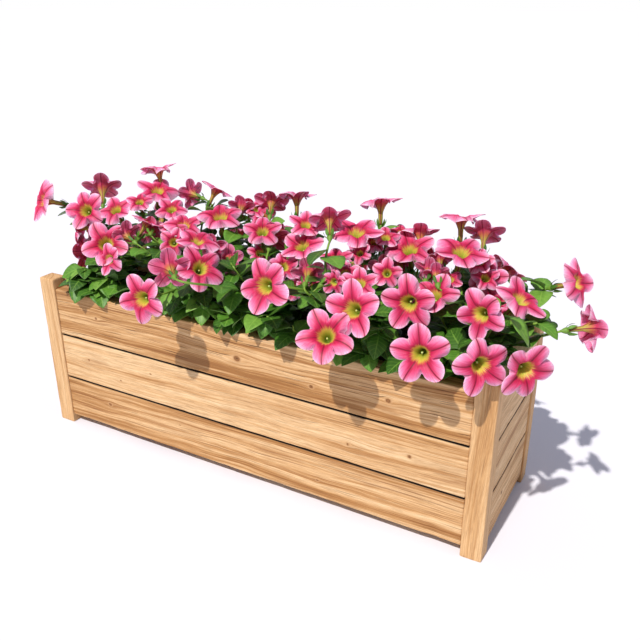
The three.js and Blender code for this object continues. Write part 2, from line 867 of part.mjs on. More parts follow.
// Where a leaf is rooted: on the straight steps that its stem is made of, at a share of the curve.
function rootPoint(curve, steps, share) {
  const step = Math.min(steps - 1, Math.floor(share * steps));
  return curve.getPoint(step / steps).lerp(curve.getPoint((step + 1) / steps), share * steps - step);
}

// A leaf's frame: where it starts, the way it points, its upper side and its length.
function leafFrame(start, along, upward, length) {
  const face = upward.clone().addScaledVector(along, -upward.dot(along)).normalize();
  return { start, along, face, across: along.clone().cross(face), length };
}

function leafPoint({ start, along, face, across, length }, reach, width, lift) {
  return start.clone()
    .addScaledVector(along, reach * length)
    .addScaledVector(across, width * length)
    .addScaledVector(face, lift * length);
}

// A pointed oval blade from a root inside its stem, folded up along its midrib, with its tip bent down.
function leaf(frame, rootAt) {
  const skin = newSkin();
  const [[reach1, width1], [reach2, width2]] = leafStations;
  const outline = [
    [reach1, width1, leafFold],
    [reach2, width2, leafFold * leafTaper],
    [1, 0, -leafDroop],
    [reach2, -width2, leafFold * leafTaper],
    [reach1, -width1, leafFold],
  ];
  const layer = (offset) => skin.add([...outline, leafMiddle].map(([reach, width, lift]) => (
    leafPoint(frame, reach, width, lift).addScaledVector(frame.face, offset)
  )));
  const root = skin.add([rootAt])[0];
  const top = layer(leafThickness / 2);
  const bottom = layer(-leafThickness / 2);
  const rim = outline.length;
  for (let i = 0; i + 1 < rim; i += 1) {
    skin.faces.push([top[i], top[i + 1], top[rim]], [bottom[i + 1], bottom[i], bottom[rim]]);
    skin.faces.push([top[i], bottom[i], bottom[i + 1]], [top[i], bottom[i + 1], top[i + 1]]);
  }
  skin.faces.push([root, top[0], top[rim]], [root, top[rim], top[rim - 1]]);
  skin.faces.push([root, bottom[rim], bottom[0]], [root, bottom[rim - 1], bottom[rim]]);
  skin.faces.push([root, bottom[0], top[0]], [root, top[rim - 1], bottom[rim - 1]]);
  return skin.solid();
}

function leafSamples(frame) {
  const samples = [leafPoint(frame, 1, 0, -leafDroop)];
  for (const [reach, width] of [...leafStations, [0.85, 0.1]]) {
    for (const share of [-0.8, 0, 0.8]) {
      samples.push(leafPoint(frame, reach, share * width, 0.5 * leafFold * Math.abs(share)));
    }
  }
  return samples;
}

function leafIsClear(samples, stem, garden) {
  return samples.every((point) => {
    if (point.z < soilHeight(point.x, point.y) + leafClearance
      && Math.abs(point.y) < halfDepth && Math.abs(point.x) < halfLength) return false;
    if (garden.boxes.some((box) => boxClearance(box, point) < leafClearance)) return false;
    if (garden.taken.some((other) => (
      other.stem !== stem && other.point.distanceTo(point) < leafClearance + other.reach
    ))) return false;
    return garden.blooms.every((frame) => bloomClearance(frame, point) > leafClearance);
  });
}

// Marks the room that a stem or a leaf takes up; stem is the number of the stem, or null for a leaf.
function take(garden, samples, plant, stem, reach) {
  samples.forEach((point) => garden.taken.push({ point, plant, stem, reach }));
}

// Grows a leaf from a stem at a share of its length, turned until it is clear.
function sideLeaf(stem, share, garden, draw) {
  const start = stem.curve.getPoint(share);
  const along = stem.curve.getTangent(share).negate();
  for (let attempt = 0; attempt < leafTries; attempt += 1) {
    const turn = draw() * 2 * Math.PI;
    const length = smallestLeaf + leafSpread * draw();
    const outward = vector(Math.cos(turn), Math.sin(turn), leafRise + leafRiseSpread * draw());
    const way = outward.addScaledVector(along, leafLean).normalize();
    const frame = leafFrame(start, way, vector(0, 0, 1), length);
    const samples = leafSamples(frame);
    if (leafIsClear(samples, stem.number, garden)) {
      take(garden, samples, stem.plant, null, leafReach);
      const steps = stem.ownBloom ? flowerStemSteps : shootSteps;
      return { plant: stem.plant, frame, root: rootPoint(stem.curve, steps, share) };
    }
  }
  return null;
}

// The frame of a shoot's first ring, which needs no bloom.
function shootFrame(centre, heading) {
  const axis = heading.clone().negate();
  const side = axis.clone().cross(vector(0.3, 0.1, 1)).normalize();
  const up = axis.clone().cross(side).normalize();
  return { centre, axis, side, up, radius: 1, spin: 0 };
}

// Every stem and leaf of the planting, as plain values before any solid is made.
function growGarden() {
  const draw = seededDraw(plantingSeed);
  const boxes = [...postCorners(), ...plankCorners()];
  const stemmed = Object.values(bloomGroups).flat().map(bloomFrame);
  const blooms = [...stemmed, ...Object.values(rearBlooms).flat().map(bloomFrame)];
  const garden = { boxes, blooms, taken: [] };
  const stems = [];
  const leaves = [];
  const grow = (start, heading, frame, ownBloom) => {
    const plant = nearestCrown(start);
    const route = routeStem(start, heading, plant, ownBloom, garden, draw);
    take(garden, route.samples, plant, stems.length, stemRootRadius + petalThickness);
    stems.push({ ...route, plant, frame, ownBloom, number: stems.length });
  };
  for (const frame of stemmed) {
    const depth = tubeLength * frame.radius + fitGap + calyxDepth;
    const start = frame.centre.clone().addScaledVector(frame.axis, -depth);
    grow(start, frame.axis.clone().negate(), frame, frame);
  }
  for (const [x0, y0, z0, x1, y1, z1] of shoots) {
    const start = vector(x0, y0, z0);
    const along = vector(x1, y1, z1).sub(start);
    const length = along.length();
    along.normalize();
    const last = leafFrame(start, along, vector(0, 0, 1), length);
    if (!leafIsClear(leafSamples(last), stems.length, garden)) {
      throw new Error(`no room for the leaf at ${start.toArray()}`);
    }
    const heading = along.clone().negate().lerp(vector(0, 0, -1), shootDroop).normalize();
    grow(start, heading, shootFrame(start, heading), null);
    take(garden, leafSamples(last), nearestCrown(start), null, leafReach);
    const { curve } = stems.at(-1);
    const root = rootPoint(curve, shootSteps, leafSink / curve.getLength());
    leaves.push({ plant: nearestCrown(start), frame: last, root });
  }
  for (const stem of stems) {
    const count = stem.ownBloom ? stem.number % 2 : sideLeaves;
    for (let i = 0; i < count; i += 1) {
      const share = stem.ownBloom
        ? flowerLeafShare + flowerLeafSpread * draw()
        : shootLeafShare + (shootLeafRun * i) / count + shootLeafSpread * draw();
      const grown = sideLeaf(stem, share, garden, draw);
      if (grown !== null) leaves.push(grown);
    }
  }
  return { stems, leaves };
}

function plants(material) {
  const { stems, leaves } = growGarden();
  return crowns.map((crown, plant) => {
    const [x, y] = crown;
    const foot = soilLevel - crownHoleDepth + crownFootGap;
    const pieces = [crownPlug(x, y, crownRadius, foot, soilLevel + crownHeight)];
    for (const stem of stems.filter((one) => one.plant === plant)) {
      const build = stem.ownBloom ? flowerStem : shootStem;
      pieces.push(build(stem.frame, stem.curve));
    }
    for (const { frame, root } of leaves.filter((one) => one.plant === plant)) {
      pieces.push(leaf(frame, root));
    }
    return nodeFrom(`plant_${plant + 1}`, fuse([fuse(pieces).asOriginal().simplify(sliverSize)]), material);
  });
}

function bloomNodes(material) {
  return Object.entries(bloomGroups).map(([name, group]) => (
    nodeFrom(name, fuse([...group.map(bloom), ...(rearBlooms[name] ?? []).map(plainBloom)]), material)
  ));
}

function matte(color, roughness) {
  return new THREE.MeshStandardMaterial({ color, roughness, metalness: 0 });
}

// Puts the middle of the foot of the whole on the origin.
function centreOnFoot(group) {
  const bounds = new THREE.Box3().setFromObject(group);
  const shiftX = -(bounds.min.x + bounds.max.x) / 2;
  const shiftY = -(bounds.min.y + bounds.max.y) / 2;
  for (const node of group.children) {
    node.geometry.translate(shiftX, shiftY, -bounds.min.z);
  }
  return group;
}

function plantedWindowBox() {
  const pine = matte(pineColor, 0.75);
  const group = new THREE.Group();
  group.name = 'planted_window_box';
  group.add(...trough(pine));
  group.add(troughFloor(matte(shadedPineColor, 0.8)));
  group.add(soil(matte(soilColor, 0.95)));
  group.add(...plants(matte(foliageColor, 0.6)));
  group.add(...bloomNodes(matte(petalColor, 0.55)));
  return centreOnFoot(group);
}

export default plantedWindowBox();
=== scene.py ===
import math
import bpy
import numpy as np
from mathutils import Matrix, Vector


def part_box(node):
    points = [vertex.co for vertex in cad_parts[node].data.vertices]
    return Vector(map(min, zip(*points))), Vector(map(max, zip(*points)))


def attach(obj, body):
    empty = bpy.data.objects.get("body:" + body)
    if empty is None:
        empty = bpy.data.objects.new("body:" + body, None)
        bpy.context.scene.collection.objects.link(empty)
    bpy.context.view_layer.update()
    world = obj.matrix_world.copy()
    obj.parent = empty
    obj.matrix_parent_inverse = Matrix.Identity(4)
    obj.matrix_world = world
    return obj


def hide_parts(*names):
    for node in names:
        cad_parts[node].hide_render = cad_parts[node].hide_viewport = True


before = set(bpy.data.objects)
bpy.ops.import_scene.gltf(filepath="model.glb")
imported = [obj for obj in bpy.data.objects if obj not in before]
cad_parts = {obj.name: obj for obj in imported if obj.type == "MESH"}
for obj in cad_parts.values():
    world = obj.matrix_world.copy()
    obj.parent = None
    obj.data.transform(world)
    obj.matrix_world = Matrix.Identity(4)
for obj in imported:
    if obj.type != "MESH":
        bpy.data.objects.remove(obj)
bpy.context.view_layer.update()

mm = 0.001
trough = {
    "low": np.array(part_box("post_front_left")[0]),
    "high": np.array(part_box("post_back_right")[1]),
}
troughMiddle = (trough["low"] + trough["high"]) / 2
troughMiddle[2] = 0.0

# camera, light and floor


def linear(hexValue, alpha=1.0):
    # sRGB hex digits to linear light: c / 12.92 below 0.04045, else ((c + 0.055) / 1.055) to the power 2.4
    channels = np.array([int(hexValue[i:i + 2], 16) for i in (0, 2, 4)]) / 255
    bright = np.where(channels <= 0.04045, channels / 12.92, ((channels + 0.055) / 1.055) ** 2.4)
    return (*bright.tolist(), alpha)


camera = {  # metres from the middle of the trough's foot, degrees, and the lens in mm
    "at": (0.590837, -0.924107, 0.712871), "azimuth": 28.85, "elevation": 23.52, "lens": 41.457,
    "sensor": 36, "farthest": 200,
}

cameraData = bpy.data.cameras.new("camera")
cameraData.lens = camera["lens"]
cameraData.sensor_width = camera["sensor"]
cameraData.clip_end = camera["farthest"]
cameraPiece = bpy.data.objects.new("camera", cameraData)
cameraPiece.location = np.array(camera["at"]) + troughMiddle
cameraPiece.rotation_euler = (math.radians(90 - camera["elevation"]), 0, math.radians(camera["azimuth"]))
bpy.context.collection.objects.link(cameraPiece)
bpy.context.scene.camera = cameraPiece

light = {
    "sunStrength": 3.7,
    "sunElevation": 54,  # degrees above the level
    "sunHeading": 3,  # degrees that the light leans to +X as it travels along +Y
    "sunWidth": 1.2,  # degrees: the wider, the softer the shadow's edge
    "sunColour": "FFFAF4",
    "skyStrength": 0.46,
    "skyColour": "E8ECFF",
    "backdrop": "FFFFFF",  # what the camera sees behind all
}

sunData = bpy.data.lights.new("key", "SUN")
sunData.energy = light["sunStrength"]
sunData.angle = math.radians(light["sunWidth"])
sunData.color = linear(light["sunColour"])[:3]
sun = bpy.data.objects.new("key", sunData)
sun.rotation_euler = (math.radians(90 - light["sunElevation"]), 0, math.radians(-light["sunHeading"]))
bpy.context.collection.objects.link(sun)

world = bpy.data.worlds.new("paleStudio")
world.use_nodes = True
sky = world.node_tree
sky.nodes.clear()
skyOut = sky.nodes.new("ShaderNodeOutputWorld")
fill = sky.nodes.new("ShaderNodeBackground")
fill.inputs["Color"].default_value = linear(light["skyColour"])
fill.inputs["Strength"].default_value = light["skyStrength"]
backdrop = sky.nodes.new("ShaderNodeBackground")
backdrop.inputs["Color"].default_value = linear(light["backdrop"])
backdrop.inputs["Strength"].default_value = 1.0
seen = sky.nodes.new("ShaderNodeLightPath")
either = sky.nodes.new("ShaderNodeMixShader")
sky.links.new(seen.outputs["Is Camera Ray"], either.inputs[0])
sky.links.new(fill.outputs[0], either.inputs[1])
sky.links.new(backdrop.outputs[0], either.inputs[2])
sky.links.new(either.outputs[0], skyOut.inputs["Surface"])
bpy.context.scene.world = world
bpy.context.scene.view_settings.view_transform = "Standard"
print("camera and light placed")

# making meshes and materials


def smooth(low, high, value):
    # 0 below low, 1 above high, and t * t * (3 - 2 t) between them
    t = np.clip((value - low) / (high - low), 0, 1)
    return t * t * (3 - 2 * t)


def unit(vectors):
    # each vector divided by its own length
    return vectors / np.linalg.norm(vectors, axis=-1, keepdims=True)


def ripple(places, seed, wavelength):
    # a soft random field, mostly from -1 to 1: the sum of nine sines with random headings and about one
    # wavelength, over 4
    draw = np.random.default_rng(seed)
    count = 9
    waves = draw.normal(size=(count, 3))
    speeds = (2 * math.pi / wavelength) * draw.uniform(0.6, 1.5, (count, 1))
    waves *= speeds / np.linalg.norm(waves, axis=1, keepdims=True)
    starts = draw.uniform(0, 2 * math.pi, count)
    total = np.zeros(places.shape[:-1])
    for wave, start in zip(waves, starts):
        total += np.sin(places @ wave + start)
    return total / 4


def skinFaces(rows, columns):
    # the faces of one closed skin: a first point, rows rings of columns points each, and a last point;
    # triangles join the first and last points to their rings, and quads join each ring to the next
    ring = np.arange(columns)
    after = (ring + 1) % columns
    last = 1 + rows * columns
    opening = np.stack([np.zeros(columns, int), 1 + after, 1 + ring], 1)
    closing = np.stack([np.full(columns, last), last - columns + ring, last - columns + after], 1)
    starts = 1 + columns * np.arange(rows - 1)[:, None]
    quads = np.stack([starts + ring, starts + after, starts + columns + after, starts + columns + ring], -1)
    return np.concatenate([opening, closing]), quads.reshape(-1, 4)


def outwards(points, triangles, quads):
    # True where the faces point out: the sum of a . (b x c) over all triangles is positive
    every = np.concatenate([triangles, quads[:, [0, 1, 2]], quads[:, [0, 2, 3]]])
    a, b, c = (points[every[:, i]] - points.mean(0) for i in range(3))
    return np.einsum("ij,ij->", a, np.cross(b, c)) > 0


def makePiece(name, skins, material, node):
    # joins skins into one mesh; each has points (count, places, 3), rows, columns, and marks by name in the
    # shape of its points
    points, corners, totals, marks = [], [], [], {}
    base = 0
    for skin in skins:
        places = skin["points"]
        count, size = places.shape[:2]
        triangles, quads = skinFaces(skin["rows"], skin["columns"])
        if not outwards(places[0], triangles, quads):
            triangles, quads = triangles[:, ::-1], quads[:, ::-1]
        shift = base + size * np.arange(count)[:, None, None]
        allTriangles = (triangles[None] + shift).reshape(-1, 3)
        allQuads = (quads[None] + shift).reshape(-1, 4)
        corners += [allTriangles.ravel(), allQuads.ravel()]
        totals += [np.full(len(allTriangles), 3), np.full(len(allQuads), 4)]
        points.append(places.reshape(-1, 3))
        for mark, values in skin["marks"].items():
            marks.setdefault(mark, []).append(np.broadcast_to(values, (count, size, 3)).reshape(-1, 3))
        base += count * size
    points, corners, totals = np.concatenate(points), np.concatenate(corners), np.concatenate(totals)
    mesh = bpy.data.meshes.new(name)
    mesh.vertices.add(len(points))
    mesh.vertices.foreach_set("co", points.astype(np.float32).ravel())
    mesh.loops.add(len(corners))
    mesh.loops.foreach_set("vertex_index", corners.astype(np.int32))
    mesh.polygons.add(len(totals))
    mesh.polygons.foreach_set("loop_start", (np.cumsum(totals) - totals).astype(np.int32))
    mesh.polygons.foreach_set("use_smooth", np.ones(len(totals), bool))
    mesh.update(calc_edges=True)
    for mark, values in marks.items():
        layer = mesh.attributes.new(mark, "FLOAT_VECTOR", "POINT")
        layer.data.foreach_set("vector", np.concatenate(values).astype(np.float32).ravel())
    mesh.materials.append(material)
    piece = bpy.data.objects.new(name, mesh)
    bpy.context.collection.objects.link(piece)
    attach(piece, "root")
    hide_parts(node)


def newMaterial(name):
    # a material whose node tree is still empty
    material = bpy.data.materials.new(name)
    material.use_nodes = True
    material.node_tree.nodes.clear()
    return material


def add(material, kind, inputs=(), stops=(), output=0, **settings):
    # adds one node: its settings, its inputs as values or links, the stops of a ramp; gives one of its
    # outputs
    tree = material.node_tree
    made = tree.nodes.new("ShaderNode" + kind)
    for key, value in settings.items():
        setattr(made, key, value)
    for key, value in (inputs.items() if isinstance(inputs, dict) else enumerate(inputs)):
        if isinstance(value, bpy.types.NodeSocket):
            tree.links.new(value, made.inputs[key])
        else:
            made.inputs[key].default_value = value
    if stops:
        ramp = made.color_ramp
        while len(ramp.elements) < len(stops):
            ramp.elements.new(0.5)
        for element, (place, colour) in zip(ramp.elements, stops):
            element.position = place
            element.color = linear(colour)
    return made.outputs[output] if made.outputs else made


def finishWith(material, colour, roughness, normal, **values):
    # joins colour, roughness and bump to the material's one shader
    shader = add(material, "BsdfPrincipled", {
        "Base Color": colour, "Roughness": roughness, **({"Normal": normal} if normal else {}),
        **{key.replace("_", " "): value for key, value in values.items()},
    })
    add(material, "OutputMaterial", {"Surface": shader})
    return material


# floor

floorMaterial = newMaterial("mattStudioPaper")  # seamless pale paper: no gloss, no texture that shows
finishWith(floorMaterial, linear("E6E6EE"), 0.95, None, Specular_IOR_Level=0.1)
floorMesh = bpy.data.meshes.new("studio_floor")
floorReach = 60.0  # m
floorCorners = [(x * floorReach, y * floorReach, 0) for x, y in ((-1, -1), (1, -1), (1, 1), (-1, 1))]
floorMesh.from_pydata(floorCorners, [], [(0, 1, 2, 3)])
floorMesh.materials.append(floorMaterial)
floorPiece = bpy.data.objects.new("studio_floor", floorMesh)
bpy.context.collection.objects.link(floorPiece)

# pine boards

pine = {
    "rounding": 1.6,  # mm, worn edges
    "bevel": 0.3,  # share of the rounding where a ring goes between an end and a side
    "endInner": 0.45,  # size of the inner outline that closes an end
    "spacing": 3.2,  # mm between mesh lines on a face
    "wander": 0.35,  # mm that a worn face strays from its plane
    "wearWaves": (60, 17),  # mm, the long and the short waves of a worn face
    "ringWander": 5.0,  # mm that a growth ring strays along a board
    "ringWaves": (420, 130),  # mm, the long and the short waves of a ring
    "ringSquash": (2.2, 3),  # how much shorter those waves are across the board
    "fineRing": 0.28, "fineWear": 0.35,  # height of the short waves over that of the long ones
    "ringSlope": 0.02,  # greatest slope of the rings along a board
    "pithDepth": (5, 45),  # mm from a face to the heart of the trunk
    "pithHeight": (1.5, 2.6),  # half heights of a board from its middle to the heart, up or down
    "turnLength": 40,  # mm of the pattern for each radian round the heart
    "knotReach": (6, 2.6),  # how far round a knot the rings bend, along and across the board, in its radii
    "knotPress": 0.8,  # how strongly they bend
    "knotStretch": 1.3,  # a knot's length over its width
    "jointShade": (0.1, 0.8),  # mm from a joint: painted shade in the gap between planks, black up to the first, none from the second
    "patternSpan": 4000,  # mm of pattern that the boards are cut from
    "seed": 700,
    "plainTones": (-0.03, 0.0, 0.03, 0.05),  # boards that boardTones leaves out take these in turn
    "plainShares": (0.5, 0.55),
    "postContrast": 0.55,
}


def roundedOutline(halfWide, halfTall, spacing, radius):
    # points round a rectangle with rounded corners: four steps round each corner, even steps along each side
    corner = np.linspace(0, math.pi / 2, 5)
    quarter = np.stack([np.cos(corner), np.sin(corner)], 1) * radius
    turns = np.array([[[1, 0], [0, 1]], [[0, 1], [-1, 0]], [[-1, 0], [0, -1]], [[0, -1], [1, 0]]])
    centres = np.array([[1, 1], [-1, 1], [-1, -1], [1, -1]]) * (np.array([halfWide, halfTall]) - radius)
    arcs = [quarter @ turn + centre for turn, centre in zip(turns, centres)]
    outline = []
    for i, arc in enumerate(arcs):
        start, end = arc[-1], arcs[(i + 1) % 4][0]
        steps = max(3, int(np.linalg.norm(end - start) / spacing))
        share = np.linspace(0, 1, steps + 1)[1:-1, None]
        outline += [arc, start + (end - start) * share]
    return np.concatenate(outline)


def boardSkin(low, high, axis, seed, tone, knots, flip, joints, contrast):
    # a rounded outline carried along the board, closed at each end by two smaller outlines and a middle point
    draw = np.random.default_rng(seed)
    low, high = np.array(low) / mm, np.array(high) / mm
    wide, tall = [i for i in (0, 1, 2) if i != axis]
    half = (high - low) / 2
    middle = (high + low) / 2
    outline = roundedOutline(half[wide], half[tall], pine["spacing"], pine["rounding"])
    length = 2 * half[axis]
    ease = pine["rounding"]
    bevel = pine["bevel"] * ease
    steps = max(8, int(length / pine["spacing"]))
    along = np.concatenate([[0, 0, bevel, ease], np.linspace(ease, length - ease, steps)[1:-1],
                            [length - ease, length - bevel, length, length]])
    inset = np.zeros(len(along))
    inset[[1, -2]] = ease
    inset[[2, -3]] = bevel
    shrink = np.ones(len(along))
    shrink[[0, -1]] = pine["endInner"]
    size = np.array([half[wide], half[tall]])
    rings = outline[None] * ((size - inset[:, None]) / size)[:, None, :] * shrink[:, None, None]
    rows, columns = rings.shape[:2]
    points = np.zeros((rows, columns, 3))
    points[..., wide], points[..., tall] = rings[..., 0], rings[..., 1]
    points[..., axis] = along[:, None] - half[axis]
    end = np.eye(3)[axis] * half[axis]
    points = np.concatenate([[-end], points.reshape(-1, 3), [end]])
    # growth rings: distance from a heart line outside the board, straying slowly along it and pressed apart
    # by knots
    across = points[:, tall] + half[tall]
    run = points[:, axis] + half[axis]
    bent = across.copy()
    knotGap = np.full(len(points), 9.0)  # in a knot's radii; 9 is beyond its halo
    for place, level, radius in knots:
        gapX, gapY = run - place, across - level
        nearX, nearY = (reach * radius for reach in pine["knotReach"])
        bent -= pine["knotPress"] * gapY * np.exp(-(gapX / nearX) ** 2 - (gapY / nearY) ** 2)
        knotGap = np.minimum(knotGap, np.hypot(gapX / pine["knotStretch"], gapY) / radius)
    pithHeight = half[tall] * (1 + draw.choice([-1, 1]) * draw.uniform(*pine["pithHeight"]))
    pithDepth = (1 if flip else -1) * draw.uniform(*pine["pithDepth"])
    longWave, shortWave = pine["ringWaves"]
    longPlace, shortPlace = (
        np.stack([run, across * squash, points[:, wide]], 1) for squash in pine["ringSquash"])
    stray = ripple(longPlace, seed + 50, longWave) * pine["ringWander"]
    stray += ripple(shortPlace, seed + 51, shortWave) * pine["ringWander"] * pine["fineRing"]
    offX, offY = points[:, wide] - pithDepth, bent - pithHeight
    rings = np.hypot(offX, offY) + stray + run * draw.uniform(-pine["ringSlope"], pine["ringSlope"])
    turn = np.arctan2(offY, offX) * pine["turnLength"]
    # wear only takes wood away: where the ripple is above 0, both faces lie that much lower
    longWave, shortWave = pine["wearWaves"]
    worn = ripple(points, seed + 52, longWave) * pine["wander"]
    worn = worn + ripple(points, seed + 53, shortWave) * pine["wander"] * pine["fineWear"]
    pull = np.zeros_like(points)
    for i in (wide, tall):
        pull[:, i] = -np.sign(points[:, i]) * np.maximum(worn, 0)
    solid = (points + pull + middle) * mm
    # painted shade in the gaps between planks darkens the faces of a joint: 1 on the face, 0 where there is
    # none
    # painted shade: darkens the top and bottom faces of a plank where another plank meets it
    jointShadeShare = np.zeros(len(points))
    for joined, gap in zip(joints, (across, 2 * half[tall] - across)):
        if joined:
            jointShadeShare = np.maximum(jointShadeShare, 1 - smooth(*pine["jointShade"], gap))
    jump = draw.uniform(0, pine["patternSpan"], 3)
    return {
        "points": solid[None], "rows": rows, "columns": columns,
        "marks": {
            "grainPlace": (np.stack([run, rings, turn], 1) + jump)[None],
            "knotPlace": np.stack([knotGap, np.full(len(knotGap), contrast), jointShadeShare], 1)[None],
            "boardTone": np.array(tone, float)[None, None],
        },
    }


def pineFinish(name, stopsLit, crackStrength):
    # planed softwood, oiled once and weathered: long honey stripes, dark late-wood lines, hairline checks,
    # few knots; the faces where two planks meet are darkened as painted shade
    wood = newMaterial(name)
    place = add(wood, "Attribute", attribute_name="grainPlace", output=1)
    knot = add(wood, "SeparateXYZ", [add(wood, "Attribute", attribute_name="knotPlace", output=1)]).node
    tones = add(wood, "SeparateXYZ", [add(wood, "Attribute", attribute_name="boardTone", output=1)]).node
    # by pattern: repeats in a mm along the board, across the rings and round the heart; start; detail;
    # roughness
    patterns = {
        "bands": ((0.0019, 0.08, 0.004), (0, 0, 0), 3.0, 0.55),  # 12 mm wide and half a metre long
        "lines": ((0.005, 0.4, 0.01), (0, 0, 0), 6.0, 0.74),  # growth rings 3 mm apart, and finer ones
        "darks": ((0.0065, 0.42, 0.02), (5.0, 90.0, 1.0), 3.0, 0.6),  # dark late wood in a few of the rings
        "fibres": ((0.035, 0.75, 0.3), (0, 0, 0), 4.0, 0.75),  # fibres 1.3 mm wide, coarse enough to show
        "checks": ((0.014, 0.75, 0.05), (31.0, 7.0, 3.0), 1.0, 0.5),  # hairline cracks up to 60 mm long
        "patches": ((0.006, 0.03, 0.02), (0, 0, 0), 3.0, 0.6),  # patches where the top coat has gone
    }
    noise = {}
    for key, (scale, start, detail, roughness) in patterns.items():
        spot = add(wood, "Mapping", {"Vector": place, "Scale": scale, "Location": start})
        noise[key] = add(wood, "TexNoise", {
            "Vector": spot, "Scale": 1.0, "Detail": detail, "Roughness": roughness})
    halfLines = add(wood, "Math", [noise["lines"], 0.5], operation="MULTIPLY")
    mixed = add(wood, "Math", [noise["bands"], 0.5, halfLines], operation="MULTIPLY_ADD")
    centred = add(wood, "Math", [mixed, 0.5], operation="SUBTRACT")
    level = add(wood, "Math", [tones.outputs[0], 0.5], operation="ADD")
    scaled = add(wood, "Math", [centred, knot.outputs[1], level], operation="MULTIPLY_ADD")
    colour = add(wood, "ValToRGB", [scaled], stops=stopsLit)
    # each layer's share is its noise between two values, then the board's own share of it
    lineMask = add(wood, "MapRange", [noise["darks"], 0.54, 0.68, 0.0, 1.0], interpolation_type="SMOOTHSTEP")
    lineShare = add(wood, "Math", [lineMask, tones.outputs[2]], operation="MULTIPLY", use_clamp=True)
    fibreShare = add(wood, "MapRange", [noise["fibres"], 0.42, 0.68, 0.0, 0.55])
    patchMask = add(wood, "MapRange", [noise["patches"], 0.54, 0.7, 0.0, 0.5],
                    interpolation_type="SMOOTHSTEP")
    patchShare = add(wood, "Math", [patchMask, tones.outputs[1]], operation="MULTIPLY", use_clamp=True)
    checkMask = add(wood, "MapRange", [noise["checks"], 0.68, 0.72, 0.0, crackStrength],
                    interpolation_type="SMOOTHSTEP")
    checkShare = add(wood, "Math", [checkMask, tones.outputs[1]], operation="MULTIPLY", use_clamp=True)
    # knots: a dark heart, two rings, a pale halo
    knotSpread = add(wood, "Math", [knot.outputs[0], 2.4], operation="DIVIDE")
    knotColour = add(wood, "ValToRGB", [knotSpread], stops=[
        (0.0, "2E1A0C"), (0.18, "5E3A1C"), (0.27, "96653A"), (0.36, "6E4424"), (0.45, "A87A4C"),
        (0.7, "CFA67A"), (1.0, "CFA67A")])
    knotShare = add(wood, "MapRange", [knot.outputs[0], 0.8, 2.2, 0.95, 0.0], interpolation_type="SMOOTHSTEP")
    layers = [
        (lineShare, linear("855228")), (fibreShare, linear("97683C")), (patchShare, linear("94653A")),
        # the last layer is painted shade: near black on the faces where two planks meet
        (checkShare, linear("3E2412")), (knotShare, knotColour), (knot.outputs[2], linear("1E120A")),
    ]
    for share, layer in layers:
        colour = add(wood, "Mix", {0: share, 6: colour, 7: layer}, data_type="RGBA", output=2)
    checkDepth = add(wood, "Math", [checkShare, 1.2], operation="MULTIPLY")
    fibreDepth = add(wood, "Math", [noise["fibres"], 0.4], operation="MULTIPLY")
    relief = add(wood, "Math", [noise["lines"], checkDepth], operation="SUBTRACT")
    relief = add(wood, "Math", [relief, fibreDepth], operation="SUBTRACT")
    bump = add(wood, "Bump", {"Strength": 0.55, "Distance": 0.6 * mm, "Height": relief})
    rough = add(wood, "MapRange", [noise["bands"], 0.3, 0.7, 0.6, 0.78])
    return finishWith(wood, colour, rough, bump, Specular_IOR_Level=0.3)


pineStops = [
    (0.3, "7C4E28"), (0.4, "A6743F"), (0.46, "C89A66"), (0.51, "DDB482"), (0.58, "E8C596"), (0.72, "F0D4AA"),
]
pineWood = pineFinish("weatheredPine", pineStops, 0.9)

plankKnots = {  # by plank: mm from its left end, mm above its foot, radius in mm
    "plank_front_upper": [(88, 46, 2.2), (372, 40, 4.2), (500, 26, 2.6), (620, 36, 3.0)],
    "plank_front_middle": [(58, 44, 2.0), (128, 22, 1.6), (196, 52, 1.6), (560, 30, 2.0), (655, 40, 2.4)],
    "plank_front_lower": [(96, 46, 2.6), (250, 50, 1.4), (510, 30, 1.8)],
    "plank_back_upper": [(210, 50, 4.0), (520, 30, 3.0)],
    "plank_back_middle": [(330, 30, 3.4), (660, 55, 2.2)],
    "plank_back_lower": [(120, 30, 3.0), (450, 52, 3.6)],
    "plank_left_middle": [(70, 34, 3.0)],
    "plank_right_upper": [(120, 30, 2.4)],
    "plank_right_lower": [(60, 44, 2.6)],
    "post_front_right": [(12, 152, 2.0)],
}
boardTones = {  # by board: shift of the bands towards pale, share of checks, share of dark lines
    "plank_front_upper": (-0.02, 1.0, 0.8),
    "plank_front_middle": (0.035, 0.5, 0.35),
    "plank_front_lower": (-0.025, 0.45, 0.75),
    "post_front_left": (0.01, 0.35, 0.2),
    "post_front_right": (0.01, 0.35, 0.2),
}

boards = [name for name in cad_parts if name.startswith(("plank_", "post_"))]
for number, name in enumerate(sorted(boards)):
    upright = name.startswith("post")
    axis = 2 if upright else (0 if "front" in name or "back" in name else 1)
    plainTone = (pine["plainTones"][number % len(pine["plainTones"])], *pine["plainShares"])
    joints = (False, False) if upright else ("lower" not in name, "upper" not in name)
    skin = boardSkin(*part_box(name), axis, pine["seed"] + 13 * number, boardTones.get(name, plainTone),
                     plankKnots.get(name, ()), "back" in name or "right" in name, joints,
                     pine["postContrast"] if upright else 1.0)
    makePiece(name + "_pine", [skin], pineWood, name)
print("boards made:", len(boards))

# the floor board keeps its CAD mesh, so its grain reads Object coordinates, along X
sawnPine = newMaterial("shadedSawnPine")  # unplaned board: dull, evenly striped by the saw; its colours are darker than the other boards' as painted shade, for it lies in the trough's shade
sawnPlace = add(sawnPine, "TexCoord", output=3)
sawnBand = add(sawnPine, "Mapping", {"Vector": sawnPlace, "Scale": (5.0, 90.0, 90.0)})
sawnNoise = add(sawnPine, "TexNoise", {"Vector": sawnBand, "Scale": 1.0, "Detail": 4.0, "Roughness": 0.6})
